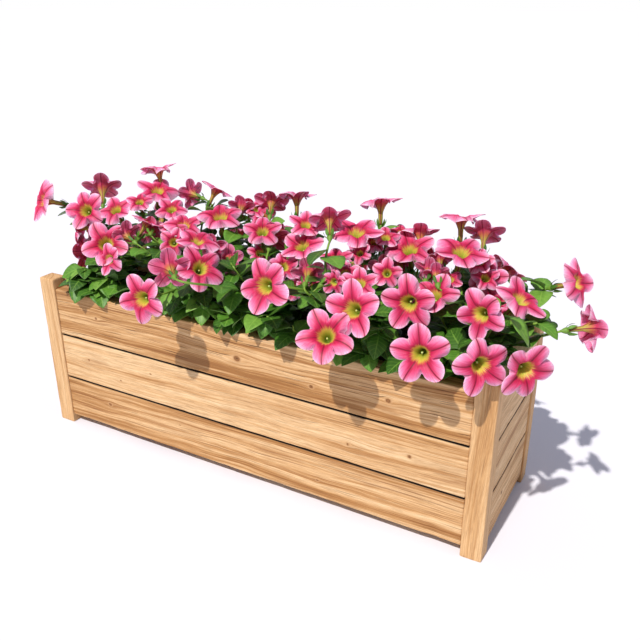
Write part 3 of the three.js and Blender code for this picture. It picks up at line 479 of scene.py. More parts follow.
# these darker stops are painted shade for the board inside the trough
sawnColour = add(sawnPine, "ValToRGB", [sawnNoise], stops=[(0.3, "8A5E38"), (0.5, "AD7E50"), (0.7, "C79A6A")])
sawnBump = add(sawnPine, "Bump", {"Strength": 0.4, "Distance": 0.5 * mm, "Height": sawnNoise})
finishWith(sawnPine, sawnColour, 0.85, sawnBump, Specular_IOR_Level=0.25)
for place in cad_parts["floor_board"].material_slots:
    place.material = sawnPine

# the planting, worked out by the same rule as its solids

planting = {  # mm, and shares of a length; a pair gives the least value and what a draw may add to it
    "seed": 20261,
    "halfLength": 400, "halfDepth": 119,  # of the trough
    "soilLevel": 232, "soilRelief": 3.5,
    "soilSwells": (47, 31, 90, 19, 23), "shortSwell": 0.45,
    "crowns": [(-335, -52), (-170, 5), (-5, -25), (160, 10), (325, -20)],
    "crownRadius": 10, "crownHeight": 16, "crownSpread": 7.5, "crownReach": 22,
    "stemTop": 1.5, "stemRoot": 2.1, "stemClearance": 1.5, "stemSpacing": 4, "stemTries": 500,
    "strictTries": 350, "confinedTries": 450, "stemMargin": 25, "stemSlack": 5,
    "stemBend": 1.1, "startPull": (0.22, 0.25), "crownLift": (0.2, 0.3), "startBend": 0.4, "crownRise": 0.3,
    "ownSamples": 4,  # so many samples at a stem's start may touch its own bloom
    "footRise": 5, "footSpread": 8, "petalThickness": 1.1, "fitGap": 0.3, "calyxDepth": 8, "tubeLength": 1.15,
    "leafWidth": 0.54, "leafFold": 0.09, "leafDroop": 0.12, "leafClearance": 5.2, "leafReach": 5,
    "leafLength": (36, 14), "leafRise": (0.15, 0.35), "leafLean": 0.4, "leafTries": 10,
    "bloomLeafPlace": (0.25, 0.35),  # where a bloom's stem bears its side leaf, as a share of the stem
    "shootLeaves": 2, "shootLeafPlace": 0.16, "shootLeafRun": 0.6, "shootLeafStray": 0.1,
}

blooms = {  # by node: x, y, z of the rim's middle in mm from the trough's, limb radius, heading, tilt, spin
    "bloom_01": [(-441, -60, 395, 40, -118, 20, 39)],
    "bloom_02": [(-409, 60, 399, 38, 130, 40, 0)],
    "bloom_group_03": [(-356, -60, 314, 37, -160, -5, 0)],
    "bloom_04": [(-330, 135, 335, 36, 100, 30, 0)],
    "bloom_group_05": [
        (-323, -72, 396, 37, -75, 34, 48), (-277, -49, 399, 32, -74, 59, 42),
        (-246, 25, 421, 39, -38, 74, 25), (-269, 55, 449, 35, 156, 74, 0),
    ],
    "bloom_group_07": [(-206, -50, 389, 27, 58, 58, 0), (-154, -25, 385, 34, -45, 70, 0)],
    "bloom_group_08": [(-240, -115, 363, 40, -52, 36, 39), (-225, -130, 342, 27, -91, 19, 45)],
    "bloom_08": [(-218, 75, 403, 28, 165, 5, 6)],
    "bloom_09": [(-199, 0, 398, 29, -60, 62, 30)],
    "bloom_10": [(-171, 160, 325, 39, 100, 66, 15)],
    "bloom_12": [(-136, 45, 430, 30, 66, 58, 0)],
    "bloom_13": [(-87, -215, 331, 39, -85, 12, 41)],
    "bloom_group_14": [(-49, 75, 412, 31, 115, 30, 0), (0, 72, 430, 34, 119, 70, 48)],
    "bloom_14a": [(-100, 0, 401, 40, -64, 72, 59)],
    "bloom_15": [(-70, 140, 345, 36, 95, 45, 0)],
    "bloom_group_16": [
        (-43, -60, 353, 23, 10, 15, 0), (-63, -106, 394, 34, -10, 75, 0), (-33, -140, 366, 38, -35, 39, 55),
        (-70, -166, 365, 32, 140, 0, 0),
    ],
    "bloom_group_18": [(1, 0, 378, 30, 110, 15, 0)],
    "bloom_19": [(75, 165, 312, 38, 80, 18, 30)],
    "bloom_20": [(93, -178, 372, 41, -92, 19, 39)],
    "bloom_group_21": [
        (83, -59, 396, 35, -97, 62, 65), (115, -34, 434, 32, 120, 35, 0), (152, -20, 417, 41, -60, 76, 35),
        (105, -74, 363, 27, 110, 15, 12),
    ],
    "bloom_23": [(156, 50, 445, 34, 118, 71, 0)],
    "bloom_group_24": [(197, -196, 334, 40, -73, 44, 38), (217, -169, 361, 40, -94, 25, 57)],
    "bloom_25": [(205, 140, 340, 36, 95, 38, 0)],
    "bloom_group_26": [
        (140, -60, 386, 26, -65, 75, 0), (198, -101, 373, 27, -60, 60, 0), (226, -80, 383, 22, -75, 35, 0),
    ],
    "bloom_group_27": [(219, 15, 392, 39, -83, 68, 43), (218, 55, 406, 31, 115, 55, 0)],
    "bloom_group_28": [(275, -125, 363, 38, -84, 8, 63), (295, -89, 371, 36, -103, 60, 1)],
    "bloom_group_29": [(281, 45, 439, 35, 119, 75, 0), (314, 53, 419, 31, 105, 45, 12)],
    "bloom_30": [(310, -30, 416, 40, -52, 71, 44)],
    "bloom_31": [(317, -186, 328, 39, -82, 12, 63)],
    "bloom_32": [(335, 130, 345, 35, 60, 35, 10)],
    "bloom_group_33": [(341, -5, 374, 29, -60, 35, 20), (356, -20, 340, 34, -59, 24, 58)],
    "bloom_group_34": [(387, -156, 316, 39, -47, 4, 59), (432, -117, 302, 41, -45, -1, 26)],
    "bloom_34a": [(370, -141, 373, 35, -105, 1, 34)],
    "bloom_35": [(403, -60, 376, 38, -9, 56, 39)],
    "bloom_36": [(459, 10, 383, 35, -8, 25, 40)],
    "bloom_37": [(491, -35, 344, 32, 32, 6, 0)],
}

# plain blooms that show only between those, by the node that they are fused to, in the same seven values; the
# solids give them no stems
rearBlooms = {
    "bloom_group_03": [(-364, -53, 355, 28, -150, 10, 0), (-359, -37, 342, 29, -120, 0, 0)],
    "bloom_group_05": [(-246, -23, 409, 24, -60, 60, 0)],
    "bloom_group_07": [
        (-212, -39, 367, 25, 130, -5, 0), (-168, -38, 375, 25, -60, 50, 0), (-149, -61, 363, 26, -60, 30, 25),
    ],
    "bloom_group_08": [(-231, -80, 368, 26, 160, 10, 0)],
    "bloom_group_14": [
        (-72, 62, 399, 22, -40, 60, 30), (-90, 50, 405, 25, 105, 35, 0), (-91, 75, 396, 26, 110, 40, 0),
        (-58, 57, 390, 25, -60, 60, 0),
    ],
    "bloom_group_16": [
        (-43, -60, 351, 25, 130, -10, 0), (-61, -76, 374, 23, 120, 10, 0), (-65, -59, 369, 25, -20, 60, 0),
    ],
    "bloom_group_18": [(-18, -12, 353, 22, -50, 50, 0), (-2, -28, 396, 32, -60, 60, 0)],
    "bloom_group_21": [
        (74, -88, 369, 24, -40, 40, 0), (81, -40, 421, 27, -50, 65, 15), (85, -74, 332, 22, -70, 20, 0),
        (108, -79, 341, 20, -60, 20, 0),
    ],
    "bloom_group_26": [
        (164, -79, 373, 21, -60, 50, 0), (161, -67, 368, 21, -60, 50, 0), (162, -100, 377, 20, 45, 35, 0),
        (164, -115, 369, 19, -90, 10, 0), (167, -41, 390, 18, -80, 45, 40),
    ],
    "bloom_group_27": [
        (201, 21, 360, 21, 130, 20, 0), (181, 7, 357, 24, 130, 10, 0), (183, 13, 402, 23, -60, 65, 0),
        (166, 10, 393, 20, -60, 60, 0), (264, 16, 381, 20, 120, 30, 0), (188, 57, 397, 23, -60, 60, 0),
    ],
    "bloom_group_28": [
        (302, -44, 377, 19, -60, 55, 50), (283, -52, 384, 20, 120, 20, 0), (271, -41, 384, 21, 100, 20, 0),
    ],
    "bloom_group_33": [
        (330, -13, 397, 21, -80, 40, 0), (383, -28, 333, 21, -70, 20, 0), (341, -14, 376, 22, -50, 50, 0),
    ],
}

shoots = [  # leafy shoots: where the last leaf starts, then where its point reaches, in mm
    (-262, -98, 294, -238, -124, 273), (-97, -108, 304, -66, -116, 283), (-54, -106, 299, -32, -114, 276),
    (28, -106, 296, -4, -116, 270), (52, -104, 292, 58, -126, 273), (152, -100, 322, 130, -122, 306),
    (216, -106, 318, 226, -116, 283), (236, -108, 316, 262, -118, 309), (307, -116, 308, 345, -116, 299),
    (425, -72, 349, 454, -81, 339), (398, -111, 367, 431, -110, 338), (-300, 100, 292, -322, 128, 278),
    (-150, 103, 299, -160, 138, 289), (-20, 105, 290, -15, 138, 272), (110, 105, 300, 125, 140, 290),
    (250, 105, 292, 262, 138, 274), (350, 95, 320, 382, 112, 305), (-372, -10, 300, -406, -22, 290),
    (-360, 40, 320, -394, 62, 312), (-318, -96, 302, -332, -126, 288), (392, 30, 322, 428, 42, 308),
]


def seededDraw(seed):
    # state = (state * 1664525 + 1013904223) modulo 2 to the 32; the draw is its share of 2 to the 32
    state = [seed]

    def draw():
        # the next draw, from 0 up to 1
        state[0] = (state[0] * 1664525 + 1013904223) % 4294967296
        return state[0] / 4294967296
    return draw


def drawn(pair, draw):
    # the least value plus a drawn share of what may be added
    return pair[0] + pair[1] * draw()


def direction(heading, tilt):
    # unit vector: heading turns about Z from +X, tilt rises from the level
    turned, raised = math.radians(heading), math.radians(tilt)
    level = math.cos(raised)
    return np.array([level * math.cos(turned), level * math.sin(turned), math.sin(raised)])


def bloomFrame(values):
    # a bloom's middle and radius, its axis by heading and tilt, a level side, and up = axis x side
    x, y, z, radius, heading, tilt, spin = values
    axis, side = direction(heading, tilt), direction(heading + 90, 0)
    return {"centre": np.array([x, y, z], float), "axis": axis, "side": side, "up": np.cross(axis, side),
            "radius": radius, "spin": spin}


def soilHeight(x, y):
    # level + relief * (sin(x / a) * cos(y / b + x / c) + share * sin(x / d + y / e))
    a, b, c, d, e = planting["soilSwells"]
    swell = np.sin(x / a) * np.cos(y / b + x / c) + np.sin(x / d + y / e) * planting["shortSwell"]
    return planting["soilLevel"] + planting["soilRelief"] * swell


stemmedBlooms = [bloomFrame(values) for group in blooms.values() for values in group]
looseBlooms = [bloomFrame(values) for group in rearBlooms.values() for values in group]
bloomFrames = stemmedBlooms + looseBlooms
bloomCentres = np.array([one["centre"] for one in bloomFrames])
bloomAxes = np.array([one["axis"] for one in bloomFrames])
bloomRadii = np.array([one["radius"] for one in bloomFrames], float)
# a bloom's profile from its rim to its tube's end: distance from the axis and height, as shares of its radius
funnel = np.array([(1, 0), (0.6, -0.015), (0.37, -0.1), (0.21, -0.42), (0.08, -planting["tubeLength"])])
boardLows, boardHighs = (
    (np.array([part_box(name)[end] for name in boards]) - troughMiddle) / mm for end in (0, 1))


def bloomClearance(points):
    # distance from each point to each bloom's round outline, less the petal's thickness; -1 inside a funnel
    offset = points[:, None] - bloomCentres
    height = np.einsum("pbk,bk->pb", offset, bloomAxes)
    reach = np.sqrt(np.maximum(0, (offset ** 2).sum(-1) - height ** 2))
    nearest = np.full(height.shape, np.inf)
    inside = np.zeros(height.shape, bool)
    for i in range(len(funnel) - 1):
        (x0, y0), (x1, y1) = funnel[i], funnel[i + 1]
        x0, y0, x1, y1 = (value * bloomRadii for value in (x0, y0, x1, y1))
        along = (reach - x0) * (x1 - x0) + (height - y0) * (y1 - y0)
        t = np.clip(along / ((x1 - x0) ** 2 + (y1 - y0) ** 2), 0, 1)
        nearest = np.minimum(nearest, np.hypot(reach - x0 - t * (x1 - x0), height - y0 - t * (y1 - y0)))
        if i > 0:
            inside |= (height < y0) & (height > y1) & (reach < x0 + (height - y0) * (x1 - x0) / (y1 - y0))
    return np.where(inside, -1, nearest - planting["petalThickness"])


def boardGap(points):
    # distance from each point to the nearest board
    outside = np.clip(points[:, None], boardLows, boardHighs) - points[:, None]
    return np.sqrt((outside ** 2).sum(-1)).min(1)


def overTrough(points):
    # True where |x| and |y| are within half the trough's length and depth
    return (np.abs(points[:, 0]) < planting["halfLength"]) & (np.abs(points[:, 1]) < planting["halfDepth"])


def bezier(pulls, t):
    # cubic curve through four pull points: the weights are the Bernstein polynomials of t
    t = np.asarray(t, float)[..., None]
    k = 1 - t
    return k * k * k * pulls[0] + 3 * k * k * t * pulls[1] + 3 * k * t * t * pulls[2] + t * t * t * pulls[3]


def tangent(pulls, t):
    # the direction between two points just before and just after t
    t = np.asarray(t, float)
    near = 0.0001
    return unit(bezier(pulls, np.minimum(t + near, 1)) - bezier(pulls, np.maximum(t - near, 0)))


def stemSamples(pulls):
    # even shares of t, one for each stemSpacing of length
    fine = bezier(pulls, np.linspace(0, 1, 201))
    length = np.linalg.norm(np.diff(fine, axis=0), axis=1).sum()
    count = math.ceil(length / planting["stemSpacing"])
    return bezier(pulls, np.arange(count + 1) / count)


def crownDistance(points, plant):
    # distance from each point to the middle of a plant's crown
    x, y = planting["crowns"][plant]
    crown = np.array([x, y, planting["soilLevel"] + planting["crownHeight"] / 2])
    return np.linalg.norm(points - crown, axis=1)


def nearestCrown(point):
    # the plant whose crown is nearest along X
    gaps = [abs(point[0] - x) for x, _ in planting["crowns"]]
    return gaps.index(min(gaps))


class Garden:
    # what is taken already: points with the room that each needs, its plant and its stem
    def __init__(self):
        # nothing is taken yet
        self.points, self.reaches = np.zeros((0, 3)), np.zeros(0)
        self.plants, self.stems = np.zeros(0, int), np.zeros(0, int)

    def take(self, points, plant, stem, reach):
        # adds points that each need the room reach round them
        count = len(points)
        self.points = np.concatenate([self.points, points])
        self.reaches = np.concatenate([self.reaches, np.full(count, float(reach))])
        self.plants = np.concatenate([self.plants, np.full(count, plant)])
        self.stems = np.concatenate([self.stems, np.full(count, stem)])


def staysIn(samples, start):
    # True for a stem that stays within the trough less a margin, or within its own start where that is
    # further out, and below its start, with a little slack
    limitX = max(abs(start[0]), planting["halfLength"] - planting["stemMargin"]) + planting["stemSlack"]
    limitY = max(abs(start[1]), planting["halfDepth"] - planting["stemMargin"]) + planting["stemSlack"]
    inside = (np.abs(samples[:, 0]) < limitX) & (np.abs(samples[:, 1]) < limitY)
    return bool((inside & (samples[:, 2] < start[2] + planting["stemSlack"])).all())


def stemIsClear(samples, plant, own, garden, strict):
    # True for a stem with room from the soil, the boards, the blooms but its own, and what is taken; a
    # plant's own stems are let off near its crown, and everywhere in the tries that aren't strict
    radius = planting["stemRoot"] + planting["stemClearance"]
    toCrown = crownDistance(samples, plant)
    low = samples[:, 2] < soilHeight(samples[:, 0], samples[:, 1]) + radius + planting["petalThickness"]
    if (low & (toCrown > planting["crownRadius"] + planting["stemRoot"] * 2)).any():
        return False
    if (boardGap(samples) < radius).any():
        return False
    gaps = bloomClearance(samples)
    if own is not None:
        gaps[:planting["ownSamples"], own] = np.inf
    if (gaps <= radius).any():
        return False
    if len(garden.points) == 0:
        return True
    distance = np.linalg.norm(samples[:, None] - garden.points, axis=2)
    close = distance < radius + garden.reaches
    mine = garden.plants == plant
    excused = mine[None] & ((toCrown < planting["crownReach"])[:, None] | (not strict))
    return not (close & ~excused).any()


def routeStem(start, heading, plant, own, garden, draw):
    # the first curve from start to the crown that is clear, tried with ever wider bends
    x, y = planting["crowns"][plant]
    outward = unit(np.array([start[0] - x, start[1] - y, 0.0]))
    rise = planting["soilLevel"] + planting["footRise"] + planting["footSpread"] * draw()
    crown = np.array([x, y, rise]) + outward * planting["crownSpread"]
    span = np.linalg.norm(start - crown)
    for attempt in range(planting["stemTries"]):
        spread = (attempt / planting["stemTries"]) * planting["stemBend"] * span
        pull = span * drawn(planting["startPull"], draw)
        lift = span * drawn(planting["crownLift"], draw)
        bendA = np.array([draw() - 0.5, draw() - 0.5, draw() - 0.5]) * spread
        bendB = np.array([draw() - 0.5, draw() - 0.5, planting["crownRise"] * draw()]) * spread
        pulls = np.array([start, start + heading * pull + bendA * planting["startBend"],
                          crown + np.array([0, 0, lift]) + bendB, crown])
        samples = stemSamples(pulls)
        strict = attempt < planting["strictTries"]
        if attempt <= planting["confinedTries"] and not staysIn(samples, start):
            continue
        if stemIsClear(samples, plant, own, garden, strict):
            return pulls, samples
    raise RuntimeError("a stem found no way")


def leafFrame(start, along, length):
    # a leaf's axes: along its blade, its face as near to straight up as that leaves it, and across = along
    # x face
    face = unit(np.array([0, 0, 1.0]) - along * along[2])
    return {"start": start, "along": along, "face": face, "across": np.cross(along, face), "length": length}


# where a blade's room is measured: distance from its start and half width, as shares of its length
leafStations = [(0.3, 0.5 * planting["leafWidth"]), (0.66, 0.38 * planting["leafWidth"]), (0.85, 0.1)]


def leafSamples(leaf):
    # the drooping point of a leaf, and three places across it at each station, its sides folded up
    places = [(1, 0, -planting["leafDroop"])]
    for reach, width in leafStations:
        for share in (-0.8, 0, 0.8):
            places.append((reach, share * width, 0.5 * planting["leafFold"] * abs(share)))
    places = np.array(places) * leaf["length"]
    return leaf["start"] + places @ np.array([leaf["along"], leaf["across"], leaf["face"]])


def leafIsClear(samples, stem, garden, room):
    # True for a leaf with room from the soil, the boards, the blooms and all that is taken but its own stem
    if (overTrough(samples) & (samples[:, 2] < soilHeight(samples[:, 0], samples[:, 1]) + room)).any():
        return False
    if (boardGap(samples) < room).any() or (bloomClearance(samples) <= room).any():
        return False
    distance = np.linalg.norm(samples[:, None] - garden.points, axis=2)
    return not ((distance < room + garden.reaches) & (garden.stems != stem)).any()


def sideLeaf(stem, share, garden, draw):
    # a leaf from the stem, turned about it until it is clear
    start = bezier(stem["pulls"], share)
    along = -tangent(stem["pulls"], share)
    for _ in range(planting["leafTries"]):
        turn = draw() * 2 * math.pi
        length = drawn(planting["leafLength"], draw)
        outward = np.array([math.cos(turn), math.sin(turn), drawn(planting["leafRise"], draw)])
        leaf = leafFrame(start, unit(outward + along * planting["leafLean"]), length)
        samples = leafSamples(leaf)
        if leafIsClear(samples, stem["number"], garden, planting["leafClearance"]):
            garden.take(samples, stem["plant"], -1, planting["leafReach"])
            return leaf
    return None


def growGarden():
    # stems of the front blooms, then shoots with their last leaves, then side leaves, in the order of the
    # solids
    draw = seededDraw(planting["seed"])
    garden, stems, leaves = Garden(), [], []

    def grow(start, heading, own, bloom):
        # adds the stem that leads from start to the nearest crown
        plant = nearestCrown(start)
        pulls, samples = routeStem(start, heading, plant, own, garden, draw)
        garden.take(samples, plant, len(stems), planting["stemRoot"] + planting["petalThickness"])
        stems.append({"pulls": pulls, "plant": plant, "bloom": bloom, "number": len(stems)})

    for number, bloom in enumerate(stemmedBlooms):
        depth = planting["tubeLength"] * bloom["radius"] + planting["fitGap"] + planting["calyxDepth"]
        grow(bloom["centre"] - bloom["axis"] * depth, -bloom["axis"], number, bloom)
    for row in shoots:
        start = np.array(row[:3], float)
        reachOut = np.array(row[3:], float) - start
        length = np.linalg.norm(reachOut)
        last = leafFrame(start, reachOut / length, length)
        grow(start, unit((-last["along"] + np.array([0, 0, -1.0])) / 2), None, None)
        garden.take(leafSamples(last), nearestCrown(start), -1, planting["leafReach"])
        leaves.append({**last, "plant": nearestCrown(start)})
    for stem in stems:
        count = stem["number"] % 2 if stem["bloom"] else planting["shootLeaves"]
        for i in range(count):
            if stem["bloom"]:
                share = drawn(planting["bloomLeafPlace"], draw)
            else:
                share = planting["shootLeafPlace"] + (planting["shootLeafRun"] * i) / count
                share += planting["shootLeafStray"] * draw()
            leaf = sideLeaf(stem, share, garden, draw)
            if leaf is not None:
                leaves.append({**leaf, "plant": stem["plant"]})
    return stems, leaves


stems, leaves = growGarden()
print("stems:", len(stems), "leaves of the solids:", len(leaves))

# petunia blooms

petunia = {
    "petals": 5,
    "columnsPerPetal": 18,
    "columnGather": 0.85,  # below 1, a petal's columns stand closer towards its sides
    "thickness": 0.4,  # mm
    # the rest are shares of the limb's radius, or powers
    "petalLengths": (0.93, 1.0),
    "notch": 0.52, "lobeSquareness": 1.6, "lobeRounding": 0.6,
    "throatReach": 0.15, "throatDepth": 0.46, "flare": 0.19,
    "throatRings": 0.72,  # how far out the throat's rings lie
    "limbRise": 0.02,  # how far the limb stands in front of the throat's curve
    "pleat": 0.085, "pleatPower": 1.3,  # how far the fold between two petals stands in front of their midribs
    "rollBack": 0.12, "rollPower": 2.2,  # how far the sides of a petal's end lie behind its midrib
    "crease": 0.024, "creaseWidth": 0.12,  # depth of the midrib, and its width as a share of half a petal
    "flute": 0.006, "fluteTurns": 15,  # fine waves across a petal
    "crestRise": 0.005,  # how far a petal's crest may stand in front of the rim's plane
    "tipBend": (-0.08, 0.24),  # how far a petal's end bends back
    "petalLean": 0.07, "petalTwist": 0.07, "petalSway": 0.1, "ruffle": 0.016, "ruffleTurns": 6.5,
    "tubeRadii": ((0.86, 1.0, 1.15), (0.098, 0.088, 0.084)),  # at these depths, these distances from the axis
    "floorDepth": 0.8,  # of the throat's floor
    # reach and height of the pistil's rings: a thin style with a knob at its end
    "pistil": ((0.012, -0.78), (0.011, -0.6), (0.02, -0.5), (0.034, -0.47), (0.034, -0.44), (0.018, -0.42)),
    "pistilSides": 8, "pistilEnds": (0.785, 0.415),
    "seed": 40,
}


def bloomSkins(group, seed):
    # rings from the throat's floor out to the petals' edge, back behind them and down the tube, s being a
    # ring's share. reach: s * outline(p) at a petal's edge, where outline = notch + (1 - notch) * (1 -
    # |p|^squareness) ^ rounding and p runs from -1 to 1 across a petal, and s * throatRings in the throat.
    # height: -depth * exp(-(reach - throat) / flare), plus pleat * |p|^pleatPower near the throat, less
    # rollBack * |p|^rollPower at a petal's end, less a crease at the midrib, plus each petal's own lean,
    # twist, bend and ruffle; then the limb is lowered by as much as its highest crest has above crestRise
    draw = np.random.default_rng(seed)
    count = len(group)
    petals, each = petunia["petals"], petunia["columnsPerPetal"]
    share = (np.arange(each) + 0.5) / each * 2 - 1
    petal = np.repeat(np.arange(petals), each)
    p = np.tile(np.sign(share) * np.abs(share) ** petunia["columnGather"], petals)
    half = math.pi / petals
    lobe = (1 - np.abs(p) ** petunia["lobeSquareness"]) ** petunia["lobeRounding"]
    outline = petunia["notch"] + (1 - petunia["notch"]) * lobe
    # where the rings stand: on the front and back as shares of the radius, on the tube as depths
    front = np.array([
        0.1, 0.13, 0.17, 0.22, 0.28, 0.34, 0.41, 0.48, 0.55, 0.62, 0.69, 0.76, 0.83, 0.89, 0.945, 0.98, 1.0])
    back = np.array([1.0, 0.975, 0.92, 0.84, 0.74, 0.64, 0.54, 0.44, 0.35, 0.27, 0.2, 0.15, 0.13])
    tube = np.array([-0.86, -0.95, -1.05, -1.15])
    s = np.concatenate([front, back])[:, None]
    blend = smooth(0.35, 0.85, s)
    radii = np.array([row[3] for row in group], float)

    def perPetal(low, high):
        # one draw for each petal, repeated for its columns
        return draw.uniform(low, high, (count, petals))[:, petal][:, None]

    lengths = perPetal(*petunia["petalLengths"])
    bend = perPetal(*petunia["tipBend"])
    lean, twist, sway = (
        perPetal(-petunia[key], petunia[key]) for key in ("petalLean", "petalTwist", "petalSway"))
    phase = perPetal(0, 2 * math.pi)
    reach = s[None] * ((1 - blend) * petunia["throatRings"] + blend * outline * lengths)
    limb = smooth(0.28, 0.6, reach)
    tip = np.clip((s - 0.5) / 0.5, 0, 1)
    edge, fade = smooth(0.6, 1, s), smooth(0.8, 1, s)
    height = -petunia["throatDepth"] * np.exp(-(reach - petunia["throatReach"]) / petunia["flare"])
    slope = -height / petunia["flare"]
    pleat = petunia["pleat"] * np.abs(p) ** petunia["pleatPower"] * smooth(0.2, 0.5, s) * (1 - edge)
    height = height + petunia["limbRise"] * limb + pleat
    height -= petunia["rollBack"] * np.abs(p) ** petunia["rollPower"] * edge
    crease = petunia["crease"] * np.exp(-(p / petunia["creaseWidth"]) ** 2)
    height -= crease * smooth(0.26, 0.5, s) * (1 - 0.5 * fade)
    height -= bend * tip ** 2
    height += lean * limb * s + twist * p * smooth(0.45, 1, s)
    ruffle = np.sin(petunia["ruffleTurns"] * p + phase)
    height += petunia["ruffle"] * smooth(0.55, 1, s) * ruffle * (0.4 + np.abs(p))
    height += petunia["flute"] * np.cos(petunia["fluteTurns"] * p) * smooth(0.3, 0.6, s) * (1 - fade)
    # a bloom whose crests rise above its rim's plane is opened flatter, so that it stays within its solid's
    # reach
    over = np.maximum(0, height.max((1, 2), keepdims=True) - petunia["crestRise"])
    height = height - over * limb
    # the back rings lie a wall's thickness behind the front, square to the throat's slope
    wall = (petunia["thickness"] / radii)[:, None, None]
    behind = (np.arange(len(s)) >= len(front))[None, :, None]
    lengthOut = np.sqrt(1 + slope ** 2)
    reach = reach + behind * wall * slope / lengthOut
    height = height - behind * wall / lengthOut
    angle = (petal * 2 * half + p * half)[None, None] + sway * tip ** 2
    level = np.ones((count, 1, len(p)))
    tubeReach = np.interp(-tube, *petunia["tubeRadii"])[None, :, None] * level
    reach = np.concatenate([reach, tubeReach], 1)
    height = np.concatenate([height, tube[None, :, None] * level], 1)
    angle = np.concatenate([angle, np.repeat(angle[:, :1], len(tube), 1)], 1)
    # what the petal's material reads: each ring's share, which falls below 0 down the tube, and 0 in front
    # or 1 behind
    along = np.concatenate([front, back, 0.88 + tube])[None, :, None] * np.ones_like(reach)
    isBack = np.concatenate([np.zeros(len(front)), np.ones(len(back) + len(tube))])
    kind = isBack[None, :, None] * np.ones_like(reach)
    frames = [bloomFrame(row) for row in group]
    centre, axis, up, side = (
        np.array([one[key] for one in frames])[:, None, None] for key in ("centre", "axis", "up", "side"))
    radius = radii[:, None, None]

    def lathed(turned, reach, height):
        # centre + radius * (reach * cos(turned) * up + reach * sin(turned) * side + height * axis)
        points = centre + up * (np.cos(turned) * reach * radius)[..., None]
        points = points + side * (np.sin(turned) * reach * radius)[..., None]
        return (points + axis * (height * radius)[..., None]).reshape(count, -1, 3)

    def onAxis(depth):
        # the point of each bloom's axis at this depth
        return (centre - axis * (depth * radius)[..., None])[:, 0]

    turned = angle + np.radians([row[6] for row in group])[:, None, None]
    solid = np.concatenate([
        onAxis(petunia["floorDepth"]), lathed(turned, reach, height), onAxis(planting["tubeLength"])], 1)
    seeds = (petal * 3.7)[None, None] + np.arange(count)[:, None, None] * 29.0 + seed * 1.7
    marks = np.stack([reach, p[None, None] * np.ones_like(reach), along], -1).reshape(count, -1, 3)
    extra = np.stack([kind, seeds * np.ones_like(reach), turned], -1).reshape(count, -1, 3)
    zero = np.zeros((count, 1, 3))
    skins = [{
        "points": solid * mm + troughMiddle, "rows": reach.shape[1], "columns": len(p),
        "marks": {
            "petalPlace": np.concatenate([zero, marks, zero + [0.08, 0, -0.3]], 1),
            "petalKind": np.concatenate([zero, extra, zero + [1, 0, 0]], 1),
        },
    }]
    ring = np.arange(petunia["pistilSides"]) / petunia["pistilSides"] * 2 * math.pi
    pistil = np.array(petunia["pistil"])
    rings = lathed(ring, pistil[:, 0][None, :, None], pistil[:, 1][None, :, None])
    first, last = (onAxis(depth) for depth in petunia["pistilEnds"])
    skins.append({
        "points": np.concatenate([first, rings, last], 1) * mm + troughMiddle,
        "rows": len(pistil), "columns": len(ring),
        "marks": {"petalPlace": np.array([[[0.0, 0.0, 0.0]]]), "petalKind": np.array([[[2.0, 0.0, 0.0]]])},
    })
    return skins


